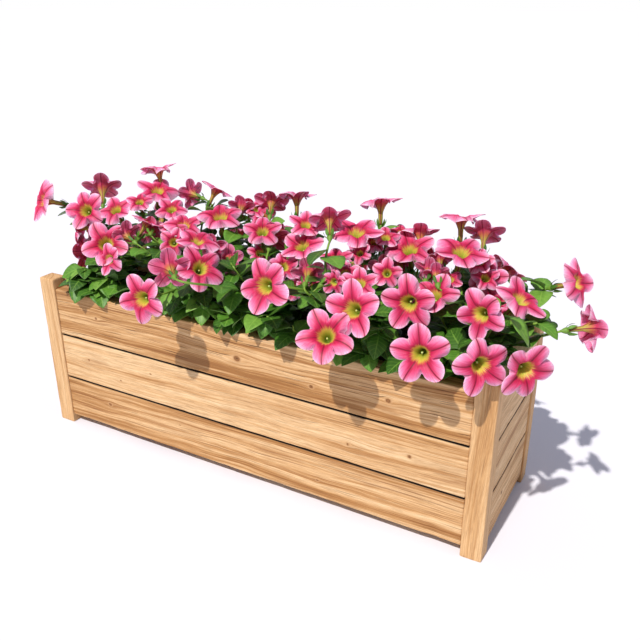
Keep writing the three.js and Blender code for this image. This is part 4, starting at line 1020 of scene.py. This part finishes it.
def petalFinish():
    # living petal: a thin satin blade, pink with a pale hem, a crimson midrib and streaks, a yellow and
    # green throat; its back is a duller crimson and its tube runs from yellow to green
    petal = newMaterial("petuniaPetal")
    place = add(petal, "SeparateXYZ", [add(petal, "Attribute", attribute_name="petalPlace", output=1)]).node
    kind = add(petal, "SeparateXYZ", [add(petal, "Attribute", attribute_name="petalKind", output=1)]).node
    reach, across, along = place.outputs
    # streaks: noise that is far finer across a petal than along it
    streakPlace = add(petal, "CombineXYZ", [
        add(petal, "Math", [across, 10.0], operation="MULTIPLY"),
        add(petal, "Math", [along, 1.8], operation="MULTIPLY"),
        kind.outputs[1]])
    streaks = add(petal, "TexNoise", {"Vector": streakPlace, "Scale": 1.0, "Detail": 3.0, "Roughness": 0.6})
    swing = add(petal, "MapRange", [streaks, 0.3, 0.7, -0.08, 0.08])
    moved = add(petal, "Math", [along, swing], operation="ADD")
    front = add(petal, "ValToRGB", [moved], stops=[
        (0.0, "5E7420"), (0.14, "80902C"), (0.23, "ACAA3C"), (0.32, "CEBC52"), (0.385, "C87050"),
        (0.45, "B01C46"), (0.56, "C82E5C"), (0.68, "DE5482"), (0.82, "EC7EA6"), (0.93, "F6A4C4"),
        (1.0, "FCC4DA")])
    # a broad crimson band, a dark rib and the veins start where the throat ends; fromRib is the distance
    # from the midrib as a share of the limb's radius
    aside = add(petal, "Math", [across], operation="ABSOLUTE")
    fromRib = add(petal, "Math", [aside, reach], operation="MULTIPLY")
    start = add(petal, "MapRange", [moved, 0.34, 0.46, 0.0, 1.0], interpolation_type="SMOOTHSTEP")
    bandShare = add(petal, "MapRange", [fromRib, 0.03, 0.25, 0.95, 0.0], interpolation_type="SMOOTHSTEP")
    bandFade = add(petal, "MapRange", [moved, 0.5, 1.05, 1.0, 0.3])
    fadedBand = add(petal, "Math", [bandShare, bandFade], operation="MULTIPLY")
    ribShare = add(petal, "MapRange", [fromRib, 0.015, 0.055, 0.9, 0.0], interpolation_type="SMOOTHSTEP")
    veinShare = add(petal, "MapRange", [streaks, 0.54, 0.66, 0.0, 0.55], interpolation_type="SMOOTHSTEP")
    for share, hexValue in ((fadedBand, "B61044"), (ribShare, "78062A"), (veinShare, "BA2454")):
        started = add(petal, "Math", [share, start], operation="MULTIPLY")
        front = add(petal, "Mix", {0: started, 6: front, 7: linear(hexValue)}, data_type="RGBA", output=2)
    backPlace = add(petal, "Math", [moved, 0.3], operation="ADD")
    rear = add(petal, "ValToRGB", [add(petal, "Math", [backPlace, 1.3], operation="DIVIDE")], stops=[
        (0.0, "5C7A22"), (0.2, "9AA238"), (0.36, "B8A848"), (0.46, "BC6444"), (0.56, "C23C62"),
        (0.8, "DC6690"), (1.0, "EE9ABC")])
    for share, hexValue in ((veinShare, "A42A54"), (ribShare, "8A1238")):
        rear = add(petal, "Mix", {0: share, 6: rear, 7: linear(hexValue)}, data_type="RGBA", output=2)
    isBack = add(petal, "Math", [kind.outputs[0], 0.5], operation="GREATER_THAN")
    bothSides = add(petal, "Mix", {0: isBack, 6: front, 7: rear}, data_type="RGBA", output=2)
    isPistil = add(petal, "Math", [kind.outputs[0], 1.5], operation="GREATER_THAN")
    colour = add(petal, "Mix", {0: isPistil, 6: bothSides, 7: linear("C9D48A")}, data_type="RGBA", output=2)
    bump = add(petal, "Bump", {"Strength": 0.4, "Distance": 0.5 * mm, "Height": streaks})
    return finishWith(petal, colour, 0.5, bump, Specular_IOR_Level=0.3, Subsurface_Weight=0.5,
                      Subsurface_Scale=0.0016, Subsurface_Radius=(1.0, 0.35, 0.5))


petalMaterial = petalFinish()
for number, (name, group) in enumerate(blooms.items()):
    skins = bloomSkins(group + rearBlooms.get(name, []), petunia["seed"] + number)
    makePiece(name + "_petals", skins, petalMaterial, name)
print("blooms made:", len(bloomFrames))

# stems, calyces and leaves

foliage = {  # mm, and shares of a length; a pair is the least and the greatest value if no note says otherwise
    "stemSides": 8, "stemSteps": 26,
    "nodeSwell": 0.12, "nodeWidth": 0.08,  # a stem swells slightly in each fifth of it
    "leafWidth": 0.4,  # half of a blade's greatest width, as a share of its length
    "leafThickness": 0.5,
    "leafRows": 10, "leafColumns": 6,
    "leafStalk": 0.13,  # share of a leaf before its blade starts
    "leafFold": (0.03, 0.13), "leafDroop": (0.03, 0.24), "leafSway": 0.07,
    "sepals": 5, "sepalWidth": 0.17,
    "sepalStart": (-3.2, 3.0), "sepalTip": (9.0, 10.0),  # along the axis from the tube's end, and out
    "cupSides": 12,
    # stems of the plain blooms and low shoots, which the solids leave out
    "looseRadii": (1.1, 1.8),  # at the top and at the root
    "looseSides": 6, "looseSteps": 16,
    "looseTries": 24, "shootTries": 10,
    "looseRise": 3.0, "looseSpread": 8,  # above the soil and out from the crown's middle
    "looseBend": 0.12, "loosePull": (0.2, 0.4), "looseLift": (0.3, 0.6), "looseRoom": 4,
    "lowShoots": 52,  # short leafy shoots that fill the box, about half of them along its front edge
    "edgeShoots": ((-384, 384), (-112, -84), (262, 292)),  # ranges of X, Y and Z
    "innerShoots": ((-384, 384), (-84, 108), (262, 345)),
    "shootBloomRoom": 6, "shootRoom": 2,
    "leafTrials": 6000, "shootWeight": 2.6,  # a shoot gets this many times the leaves of a bloom's stem
    "leafLengths": (27, 45),
    "leafSpacing": 13,  # between the middles of two leaves
    "leafBloomRoom": 2.0, "leafBoardRoom": 1.6, "leafSoilRoom": 1.5,
    # leaves over the front edge: in front of this Y, below this Z and so many of them, with these turns and
    # rises
    "edgeY": -82, "edgeZ": 330, "edgeShare": 0.7, "edgeTurns": (-2.4, -0.75), "edgeRises": (-0.75, 0.1),
    "innerRises": (-0.35, 0.45), "innerLean": 0.3, "leafTilt": 0.25,
    "leafLimits": (446, 174, 425), "leafFloor": 236,  # |X|, |Y| and Z stay below these, Z above that
    "overhangY": -117, "overhangZ": 252, "overhangSlope": 0.2,  # how low a leaf hangs in front of the planks
    "bareEnd": (-352, 60, 318),  # the left end has no leaves but right of, behind or above these
    "extraSeed": 9157, "calyxSeed": 300, "leafSeed": 520, "looseNumber": 100,
    "crownPulls": (248, 240, 225, 212), "crownRadii": (8.5, 10), "crownSides": 12, "crownSteps": 8,
}


def stemSkin(pulls, topRadius, rootRadius, sides, steps):
    # a ring carried along the curve; its radius grows from the top to the root, times 1 + swell *
    # exp(-(d / width)^2), d being the distance from the middle of a fifth of the stem
    t = np.linspace(0, 1, steps)
    middle = bezier(pulls, t)
    ahead = tangent(pulls, t)
    chord = pulls[3] - pulls[0]
    lean = unit(np.cross(chord, np.array([0.3, 0.1, 1.0])))
    across = unit(lean - ahead * (ahead @ lean)[:, None])
    side = np.cross(ahead, across)
    angle = np.arange(sides) / sides * 2 * math.pi
    swell = foliage["nodeSwell"] * np.exp(-((t * 5 % 1 - 0.5) / foliage["nodeWidth"]) ** 2)
    radius = (topRadius + (rootRadius - topRadius) * t) * (1 + swell)
    ring = across[:, None] * np.cos(angle)[None, :, None] + side[:, None] * np.sin(angle)[None, :, None]
    points = middle[:, None] + ring * radius[:, None, None]
    solid = np.concatenate([middle[:1], points.reshape(-1, 3), middle[-1:]])
    mark = np.zeros_like(solid)
    mark[1:-1, 0] = np.repeat(t, sides)
    mark[1:-1, 1] = np.tile(np.cos(angle), steps)
    return {"points": (solid * mm + troughMiddle)[None], "rows": steps, "columns": sides,
            "marks": {"leafPlace": mark[None], "leafKind": np.array([[[1.0, 0.0, 0.0]]])}}


def leafSkins(frames, seed, widthShare):
    # outline: u^0.5 * (1 - u)^0.85 on the blade over its greatest value 0.41, and a stalk before it; folded
    # up along the midrib, waved at its hem, arched and drooped along its length; its faces lie a blade's
    # thickness apart
    draw = np.random.default_rng(seed)
    count = len(frames)
    rows, half = foliage["leafRows"], foliage["leafColumns"]
    t = (0.02 + 0.965 * np.linspace(0, 1, rows) ** 0.92)[None, :, None]
    blade = np.clip((t - foliage["leafStalk"]) / (1 - foliage["leafStalk"]), 0, 1)
    outline = np.maximum(blade ** 0.5 * (1 - blade) ** 0.85 / 0.41, 0.07 * (1 - t))
    q = np.concatenate([np.linspace(-1, 1, half), np.linspace(1, -1, half)])[None, None]
    over = np.concatenate([np.ones(half), -np.ones(half)])[None, None]

    def perLeaf(low, high):
        # one draw for each leaf
        return draw.uniform(low, high, (count, 1, 1))

    widest = widthShare * perLeaf(0.85, 1.12)
    wave = perLeaf(0, 2 * math.pi)
    fold, droop = perLeaf(*foliage["leafFold"]), perLeaf(*foliage["leafDroop"])
    sway = perLeaf(-foliage["leafSway"], foliage["leafSway"])
    width = widest * outline * q
    lift = 0.2 * t * (1 - t) - droop * t ** 2 + fold * widest * 2.2 * outline * np.abs(q) ** 1.25
    lift = lift + 0.016 * np.sin(9 * t + wave + 2 * np.sign(q)) * np.abs(q) * outline
    # the side veins are shallow furrows that slant to the tip
    lift = lift - 0.006 * outline * (1 - np.abs(q)) * np.abs(q) * np.cos(40 * (t - 0.2 * np.abs(q)))
    curl = sway * np.sin(2.6 * t) * t
    lengths = np.array([one["length"] for one in frames])[:, None, None]
    thick = foliage["leafThickness"] / 2 * over * (0.35 + 0.65 * (1 - np.abs(q)))
    start, along, across, face = (
        np.array([one[key] for one in frames])[:, None, None] for key in ("start", "along", "across", "face"))
    points = start + along * (t * lengths * np.ones_like(width))[..., None]
    points = points + across * ((width + curl) * lengths)[..., None]
    points = points + face * (lift * lengths + thick)[..., None]
    end = start + along * lengths[..., None] + across * (sway * np.sin(2.6) * lengths)[..., None]
    end = end - face * (droop * lengths)[..., None]
    solid = np.concatenate([start[:, 0], points.reshape(count, -1, 3), end[:, 0]], 1)
    marks = np.stack([value * np.ones_like(width) for value in (t, q, over)], -1)
    zero = np.zeros((count, 1, 3))
    kinds = [np.zeros(count), draw.uniform(0, 1, count), draw.uniform(0, 50, count)]
    return {"points": solid * mm + troughMiddle, "rows": rows, "columns": 2 * half,
            "marks": {"leafPlace": np.concatenate([zero, marks.reshape(count, -1, 3), zero + [1, 0, 0]], 1),
                      "leafKind": np.stack(kinds, -1)[:, None]}}


def calyxSkins(bloom, seed):
    # a lathed cup behind the tube, and five narrow sepals that lean out from it
    calyxFoot = -planting["tubeLength"] * bloom["radius"] - planting["fitGap"]
    ring = np.arange(foliage["cupSides"]) / foliage["cupSides"] * 2 * math.pi
    # radius and height of the cup's rings from the tube's end
    cup = np.array([(2.2, 0.4), (3.4, 0.2), (4.2, -1.4), (4.1, -3.4), (3.1, -6.0), (1.9, -8.2), (1.5, -10.0)])
    centre, axis, up, side = (bloom[key] for key in ("centre", "axis", "up", "side"))
    ribs = 1 + 0.06 * np.cos(5 * ring)
    around = up[None] * np.cos(ring)[:, None] + side[None] * np.sin(ring)[:, None]
    points = centre + axis * (cup[:, 1] + calyxFoot)[:, None, None]
    points = points + around[None] * (cup[:, 0][:, None] * ribs)[..., None]
    first, last = (centre + axis * (calyxFoot - depth) for depth in (0.5, 10.4))
    solid = np.concatenate([[first], points.reshape(-1, 3), [last]])
    skins = [{
        "points": (solid * mm + troughMiddle)[None], "rows": len(cup), "columns": len(ring),
        "marks": {"leafPlace": np.array([[[0.3, 0.0, 0.0]]]), "leafKind": np.array([[[1.0, 0.5, 0.0]]])},
    }]
    sepals = []
    for i in range(foliage["sepals"]):
        turned = math.radians(bloom["spin"] + 36 + 72 * i)
        outward = up * math.cos(turned) + side * math.sin(turned)
        start, tip = (
            centre + axis * (calyxFoot + ahead) + outward * aside
            for ahead, aside in (foliage["sepalStart"], foliage["sepalTip"]))
        along = unit(tip - start)
        face = unit(outward - along * (outward @ along))
        sepals.append({"start": start, "along": along, "face": face, "across": np.cross(along, face),
                       "length": np.linalg.norm(tip - start)})
    skins.append(leafSkins(sepals, seed, foliage["sepalWidth"]))
    return skins


def looseStem(start, heading, plant, draw, tries):
    # of a few curves from start to the crown, the one that keeps furthest from the blooms, the boards and
    # the soil
    x, y = planting["crowns"][plant]
    outward = unit(np.array([start[0] - x, start[1] - y, 0]))
    crown = np.array([x, y, planting["soilLevel"] + foliage["looseRise"]]) + outward * foliage["looseSpread"]
    span = np.linalg.norm(start - crown)
    best = None
    for trial in range(tries):
        bend = draw.normal(size=3) * span * foliage["looseBend"] * min(1, trial / 4)
        pulls = np.array([start, start + heading * span * draw.uniform(*foliage["loosePull"]) + bend,
                          crown + [0, 0, span * draw.uniform(*foliage["looseLift"])] + bend * 0.6, crown])
        away = stemSamples(pulls)[planting["ownSamples"]:]
        overSoil = away[:, 2] - soilHeight(away[:, 0], away[:, 1]) + foliage["looseRoom"]
        gap = min(bloomClearance(away).min(), boardGap(away).min(), overSoil.min())
        if best is None or gap > best[0]:
            best = (gap, pulls)
        if gap > foliage["looseRoom"]:
            break
    return best


def moreStems(draw):
    # stems of the plain blooms, then low leafy shoots between the crowns
    grown = []
    for bloom in looseBlooms:
        room = planting["fitGap"] + planting["calyxDepth"]
        start = bloom["centre"] - bloom["axis"] * (planting["tubeLength"] * bloom["radius"] + room)
        plant = nearestCrown(start)
        _, pulls = looseStem(start, -bloom["axis"], plant, draw, foliage["looseTries"])
        number = foliage["looseNumber"] + len(grown)
        grown.append({"pulls": pulls, "plant": plant, "bloom": bloom, "number": number})
    for _ in range(foliage["lowShoots"]):
        ranges = foliage["edgeShoots"] if draw.uniform() < 0.5 else foliage["innerShoots"]
        target = np.array([draw.uniform(low, high) for low, high in ranges])
        if (bloomClearance(target[None]) < foliage["shootBloomRoom"]).any():
            continue
        plant = nearestCrown(target)
        gap, pulls = looseStem(target, np.array([0, 0, -1.0]), plant, draw, foliage["shootTries"])
        if gap > foliage["shootRoom"]:
            grown.append({"pulls": pulls, "plant": plant, "bloom": None})
    return grown


def moreLeaves(every, draw):
    # leaves are tried on all the stems at once, then kept one by one where there is room
    trials = foliage["leafTrials"]
    weights = np.array([1.0 if stem["bloom"] else foliage["shootWeight"] for stem in every])
    chosen = draw.choice(len(every), trials, p=weights / weights.sum())
    shares = draw.uniform(0.02, 0.9, trials)
    starts = np.array([bezier(every[i]["pulls"], share) for i, share in zip(chosen, shares)])
    heads = np.array([-tangent(every[i]["pulls"], share) for i, share in zip(chosen, shares)])
    turns = draw.uniform(0, 2 * math.pi, trials)
    overEdge = (starts[:, 1] < foliage["edgeY"]) & (starts[:, 2] < foliage["edgeZ"])
    overEdge &= draw.uniform(0, 1, trials) < foliage["edgeShare"]
    turns = np.where(overEdge, draw.uniform(*foliage["edgeTurns"], trials), turns)
    edgeRises = draw.uniform(*foliage["edgeRises"], trials)
    rises = np.where(overEdge, edgeRises, draw.uniform(*foliage["innerRises"], trials))
    alongs = np.stack([np.cos(turns), np.sin(turns), rises], 1)
    alongs = unit(alongs + heads * foliage["innerLean"] * ~overEdge[:, None])
    lengths = draw.uniform(*foliage["leafLengths"], trials)
    faces = unit(np.array([0, 0, 1.0]) - alongs * alongs[:, 2:])
    tilted = unit(faces + draw.normal(size=(trials, 3)) * foliage["leafTilt"])
    faces = unit(tilted - alongs * (alongs * tilted).sum(1, keepdims=True))
    acrosses = np.cross(alongs, faces)
    # a leaf's room is measured at its point and at three places across each of three stations
    places = [(1, 0, -0.1)]
    for reach, width in ((0.25, 0.25), (0.5, 0.33), (0.8, 0.15)):
        places += [(reach, share * width, 0.03) for share in (-0.9, 0, 0.9)]
    places = np.array(places)[None]
    samples = starts[:, None] + lengths[:, None, None] * (
        places[..., :1] * alongs[:, None] + places[..., 1:2] * acrosses[:, None]
        + places[..., 2:] * faces[:, None])
    flat = samples.reshape(-1, 3)
    x, y, z = flat.T
    clear = bloomClearance(flat).min(1) > foliage["leafBloomRoom"]
    clear &= boardGap(flat) > foliage["leafBoardRoom"]
    clear &= ~(overTrough(flat) & (z < soilHeight(x, y) + foliage["leafSoilRoom"]))
    clear &= (np.abs(flat) < np.array(foliage["leafLimits"])).all(1) & (z > foliage["leafFloor"])
    hang = foliage["overhangZ"] - (y - foliage["overhangY"]) * foliage["overhangSlope"]
    clear &= ~((y < foliage["overhangY"]) & (z < hang))
    bareX, bareY, bareZ = foliage["bareEnd"]
    clear &= (x > bareX) | (y > bareY) | (z > bareZ)
    clear = clear.reshape(trials, -1).all(1)
    middles = samples[:, 5]
    kept, keptMiddles = [], np.zeros((0, 3))
    for i in np.flatnonzero(clear):
        if len(kept) and (np.linalg.norm(keptMiddles - middles[i], axis=1) < foliage["leafSpacing"]).any():
            continue
        kept.append({"start": starts[i], "along": alongs[i], "across": acrosses[i], "face": faces[i],
                     "length": lengths[i], "plant": every[chosen[i]]["plant"]})
        keptMiddles = np.concatenate([keptMiddles, middles[i:i + 1]])
    return kept


extraDraw = np.random.default_rng(foliage["extraSeed"])
looseStems = moreStems(extraDraw)
looseLeaves = moreLeaves(stems + looseStems, extraDraw)
print("stems and leaves added:", len(looseStems), len(looseLeaves))


def leafFinish():
    # petunia leaf: a soft, slightly sticky blade, mid green, paler along its veins, darker and duller where
    # it is old
    leaf = newMaterial("petuniaLeaf")
    place = add(leaf, "SeparateXYZ", [add(leaf, "Attribute", attribute_name="leafPlace", output=1)]).node
    kind = add(leaf, "SeparateXYZ", [add(leaf, "Attribute", attribute_name="leafKind", output=1)]).node
    along, across, over = place.outputs
    aside = add(leaf, "Math", [across], operation="ABSOLUTE")
    tone = add(leaf, "ValToRGB", [kind.outputs[1]], stops=[
        (0.0, "32591B"), (0.5, "447420"), (0.8, "5C8E2E"), (1.0, "7AA642")])
    stretched = add(leaf, "Math", [along, 3.0], operation="MULTIPLY")
    patchPlace = add(leaf, "CombineXYZ", [stretched, across, kind.outputs[2]])
    patches = add(leaf, "TexNoise", {"Vector": patchPlace, "Scale": 1.6, "Detail": 3.0, "Roughness": 0.55})
    patchShare = add(leaf, "MapRange", [patches, 0.4, 0.7, 0.0, 0.4])
    patched = add(leaf, "Mix", {0: patchShare, 6: tone, 7: linear("294E16")}, data_type="RGBA", output=2)
    # side veins: seven a side, slanting towards the tip
    sideways = add(leaf, "Math", [aside, 0.22], operation="MULTIPLY")
    slant = add(leaf, "Math", [along, sideways], operation="SUBTRACT")
    wave = add(leaf, "Math", [add(leaf, "Math", [slant, 44.0], operation="MULTIPLY")], operation="SINE")
    veinShare = add(leaf, "MapRange", [wave, 0.8, 1.0, 0.0, 0.28], interpolation_type="SMOOTHSTEP")
    ribShare = add(leaf, "MapRange", [aside, 0.02, 0.09, 0.45, 0.0], interpolation_type="SMOOTHSTEP")
    lines = add(leaf, "Math", [veinShare, ribShare], operation="MAXIMUM")
    veined = add(leaf, "Mix", {0: lines, 6: patched, 7: linear("8DB84E")}, data_type="RGBA", output=2)
    isUnder = add(leaf, "Math", [over, 0.0], operation="LESS_THAN")
    underShare = add(leaf, "Math", [isUnder, 0.5], operation="MULTIPLY")
    undersides = add(leaf, "Mix", {0: underShare, 6: veined, 7: linear("86A866")}, data_type="RGBA", output=2)
    stalkColour = add(leaf, "ValToRGB", [along], stops=[(0.0, "7FA03C"), (0.5, "5E8A30"), (1.0, "4A6E28")])
    isStalk = add(leaf, "Math", [kind.outputs[0], 0.5], operation="GREATER_THAN")
    colour = add(leaf, "Mix", {0: isStalk, 6: undersides, 7: stalkColour}, data_type="RGBA", output=2)
    furrows = add(leaf, "Math", [lines, 0.8], operation="MULTIPLY")
    relief = add(leaf, "Math", [patches, furrows], operation="SUBTRACT")
    bump = add(leaf, "Bump", {"Strength": 0.45, "Distance": 0.5 * mm, "Height": relief})
    return finishWith(leaf, colour, 0.45, bump, Specular_IOR_Level=0.35)


leafMaterial = leafFinish()
for plant, (x, y) in enumerate(planting["crowns"]):
    skins = []
    for grown, radii, sides, steps in (
            (stems, (planting["stemTop"], planting["stemRoot"]), foliage["stemSides"], foliage["stemSteps"]),
            (looseStems, foliage["looseRadii"], foliage["looseSides"], foliage["looseSteps"])):
        for stem in grown:
            if stem["plant"] == plant:
                skins.append(stemSkin(stem["pulls"], *radii, sides, steps))
                if stem["bloom"]:
                    skins += calyxSkins(stem["bloom"], foliage["calyxSeed"] + stem["number"])
    mine = [leaf for leaf in leaves + looseLeaves if leaf["plant"] == plant]
    skins.append(leafSkins(mine, foliage["leafSeed"] + plant, foliage["leafWidth"]))
    # the crown: a woody knuckle that the stems grow from
    crownPulls = np.array([(x, y, level) for level in foliage["crownPulls"]], float)
    skins.append(stemSkin(crownPulls, *foliage["crownRadii"], foliage["crownSides"], foliage["crownSteps"]))
    makePiece(f"plant_{plant + 1}_foliage", skins, leafMaterial, f"plant_{plant + 1}")
print("foliage made")

# compost

compost = {  # mm
    "halfLength": 372.8, "halfDepth": 90.5, "foot": 36.3, "columns": 440, "rows": 70,
    "longSide": 0.38,  # share of the columns that a long side gets
    "crumb": 1.6, "crumbWaves": (13, 6), "crumbShares": (0.7, 0.5), "crumbSeeds": (81, 82), "settling": 0.6,
    "bitSeed": 6, "bits": 420, "bitsReach": (365, 86), "bitSizes": (1.2, 3.6), "bitLift": 0.4,
}


def compostSkin():
    # outlines of a rectangle that grow from the middle to the walls, each point at the soil's height plus
    # crumbs, then down the walls to the floor
    a, b = compost["halfLength"], compost["halfDepth"]
    longSide, shortSide = compost["longSide"], 0.5 - compost["longSide"]
    place = np.arange(compost["columns"]) / compost["columns"]
    ends = np.concatenate([[0], np.cumsum([longSide, shortSide, longSide, shortSide])])
    edgeX = np.interp(place, ends, [-a, a, a, -a, -a])
    edgeY = np.interp(place, ends, [-b, -b, b, b, -b])
    scale = (np.arange(1, compost["rows"] + 1) / compost["rows"])[:, None]
    x, y = edgeX[None] * scale, edgeY[None] * scale
    flat = np.stack([x, y, x * 0], -1)
    coarse, fine = (
        share * ripple(flat, seed, wave)
        for share, seed, wave in zip(compost["crumbShares"], compost["crumbSeeds"], compost["crumbWaves"]))
    crumbs = compost["crumb"] * (coarse + fine)
    top = np.stack([x, y, soilHeight(x, y) + crumbs - compost["settling"]], -1)
    wall = np.stack([edgeX, edgeY, edgeX * 0 + compost["foot"]], -1)[None]
    rings = np.concatenate([top, wall])
    solid = np.concatenate([[[0, 0, soilHeight(0.0, 0.0)]], rings.reshape(-1, 3), [[0, 0, compost["foot"]]]])
    return {"points": (solid * mm + troughMiddle)[None], "rows": len(rings), "columns": compost["columns"],
            "marks": {"crumbTone": np.array([[[0.0, 0.0, 0.0]]])}}


def compostBits():
    # bark chips and grit: balls with uneven radii, flattened and turned about Z, lying on the soil
    draw = np.random.default_rng(compost["bitSeed"])
    count = compost["bits"]
    x, y = (draw.uniform(-reach, reach, count) for reach in compost["bitsReach"])
    size = draw.uniform(*compost["bitSizes"], count)
    rows, columns = 3, 6
    tilt = np.linspace(0, math.pi, rows + 2)[1:-1]
    turn = np.arange(columns) / columns * 2 * math.pi
    ball = np.stack([np.sin(tilt)[:, None] * np.cos(turn), np.sin(tilt)[:, None] * np.sin(turn),
                     np.cos(tilt)[:, None] * np.ones(columns)], -1).reshape(-1, 3)
    ball = np.concatenate([[[0, 0, 1]], ball, [[0, 0, -1]]])
    uneven = draw.uniform(0.7, 1.25, (count, len(ball), 1))
    stretch = draw.uniform(0.5, 1.4, (count, 1, 3)) * np.array([1.3, 1.0, 0.55])
    heading = draw.uniform(0, 2 * math.pi, count)
    local = ball[None] * uneven * stretch * size[:, None, None]
    cosine, sine = np.cos(heading)[:, None], np.sin(heading)[:, None]
    turned = np.stack([local[..., 0] * cosine - local[..., 1] * sine,
                       local[..., 0] * sine + local[..., 1] * cosine, local[..., 2]], -1)
    places = turned + np.stack([x, y, soilHeight(x, y) + compost["bitLift"]], -1)[:, None]
    tone = np.stack([np.ones(count), draw.uniform(0, 1, count), np.zeros(count)], -1)[:, None]
    return {"points": places * mm + troughMiddle, "rows": rows, "columns": columns,
            "marks": {"crumbTone": tone}}


def compostFinish():
    # peat compost: nearly black when moist, crumbly, with bark, pale grit and fibres
    soil = newMaterial("peatCompost")
    place = add(soil, "TexCoord", output=3)
    tones = add(soil, "SeparateXYZ", [add(soil, "Attribute", attribute_name="crumbTone", output=1)]).node
    crumbs = add(soil, "TexNoise", {"Vector": place, "Scale": 260.0, "Detail": 5.0, "Roughness": 0.65})
    cells = add(soil, "TexVoronoi", {"Vector": place, "Scale": 330.0})
    base = add(soil, "ValToRGB", [crumbs], stops=[
        (0.3, "160E09"), (0.5, "2B1D14"), (0.68, "45301F"), (0.8, "6A4E34")])
    bits = add(soil, "ValToRGB", [tones.outputs[1]], stops=[
        (0.0, "2E1C10"), (0.5, "553620"), (0.85, "7A5636"), (0.93, "B8AE9C"), (1.0, "D8D2C4")])
    colour = add(soil, "Mix", {0: tones.outputs[0], 6: base, 7: bits}, data_type="RGBA", output=2)
    relief = add(soil, "Math", [crumbs, cells], operation="ADD")
    bump = add(soil, "Bump", {"Strength": 0.9, "Distance": 2.0 * mm, "Height": relief})
    return finishWith(soil, colour, 0.92, bump, Specular_IOR_Level=0.2)


makePiece("soil_compost", [compostSkin(), compostBits()], compostFinish(), "soil")
print("compost made")
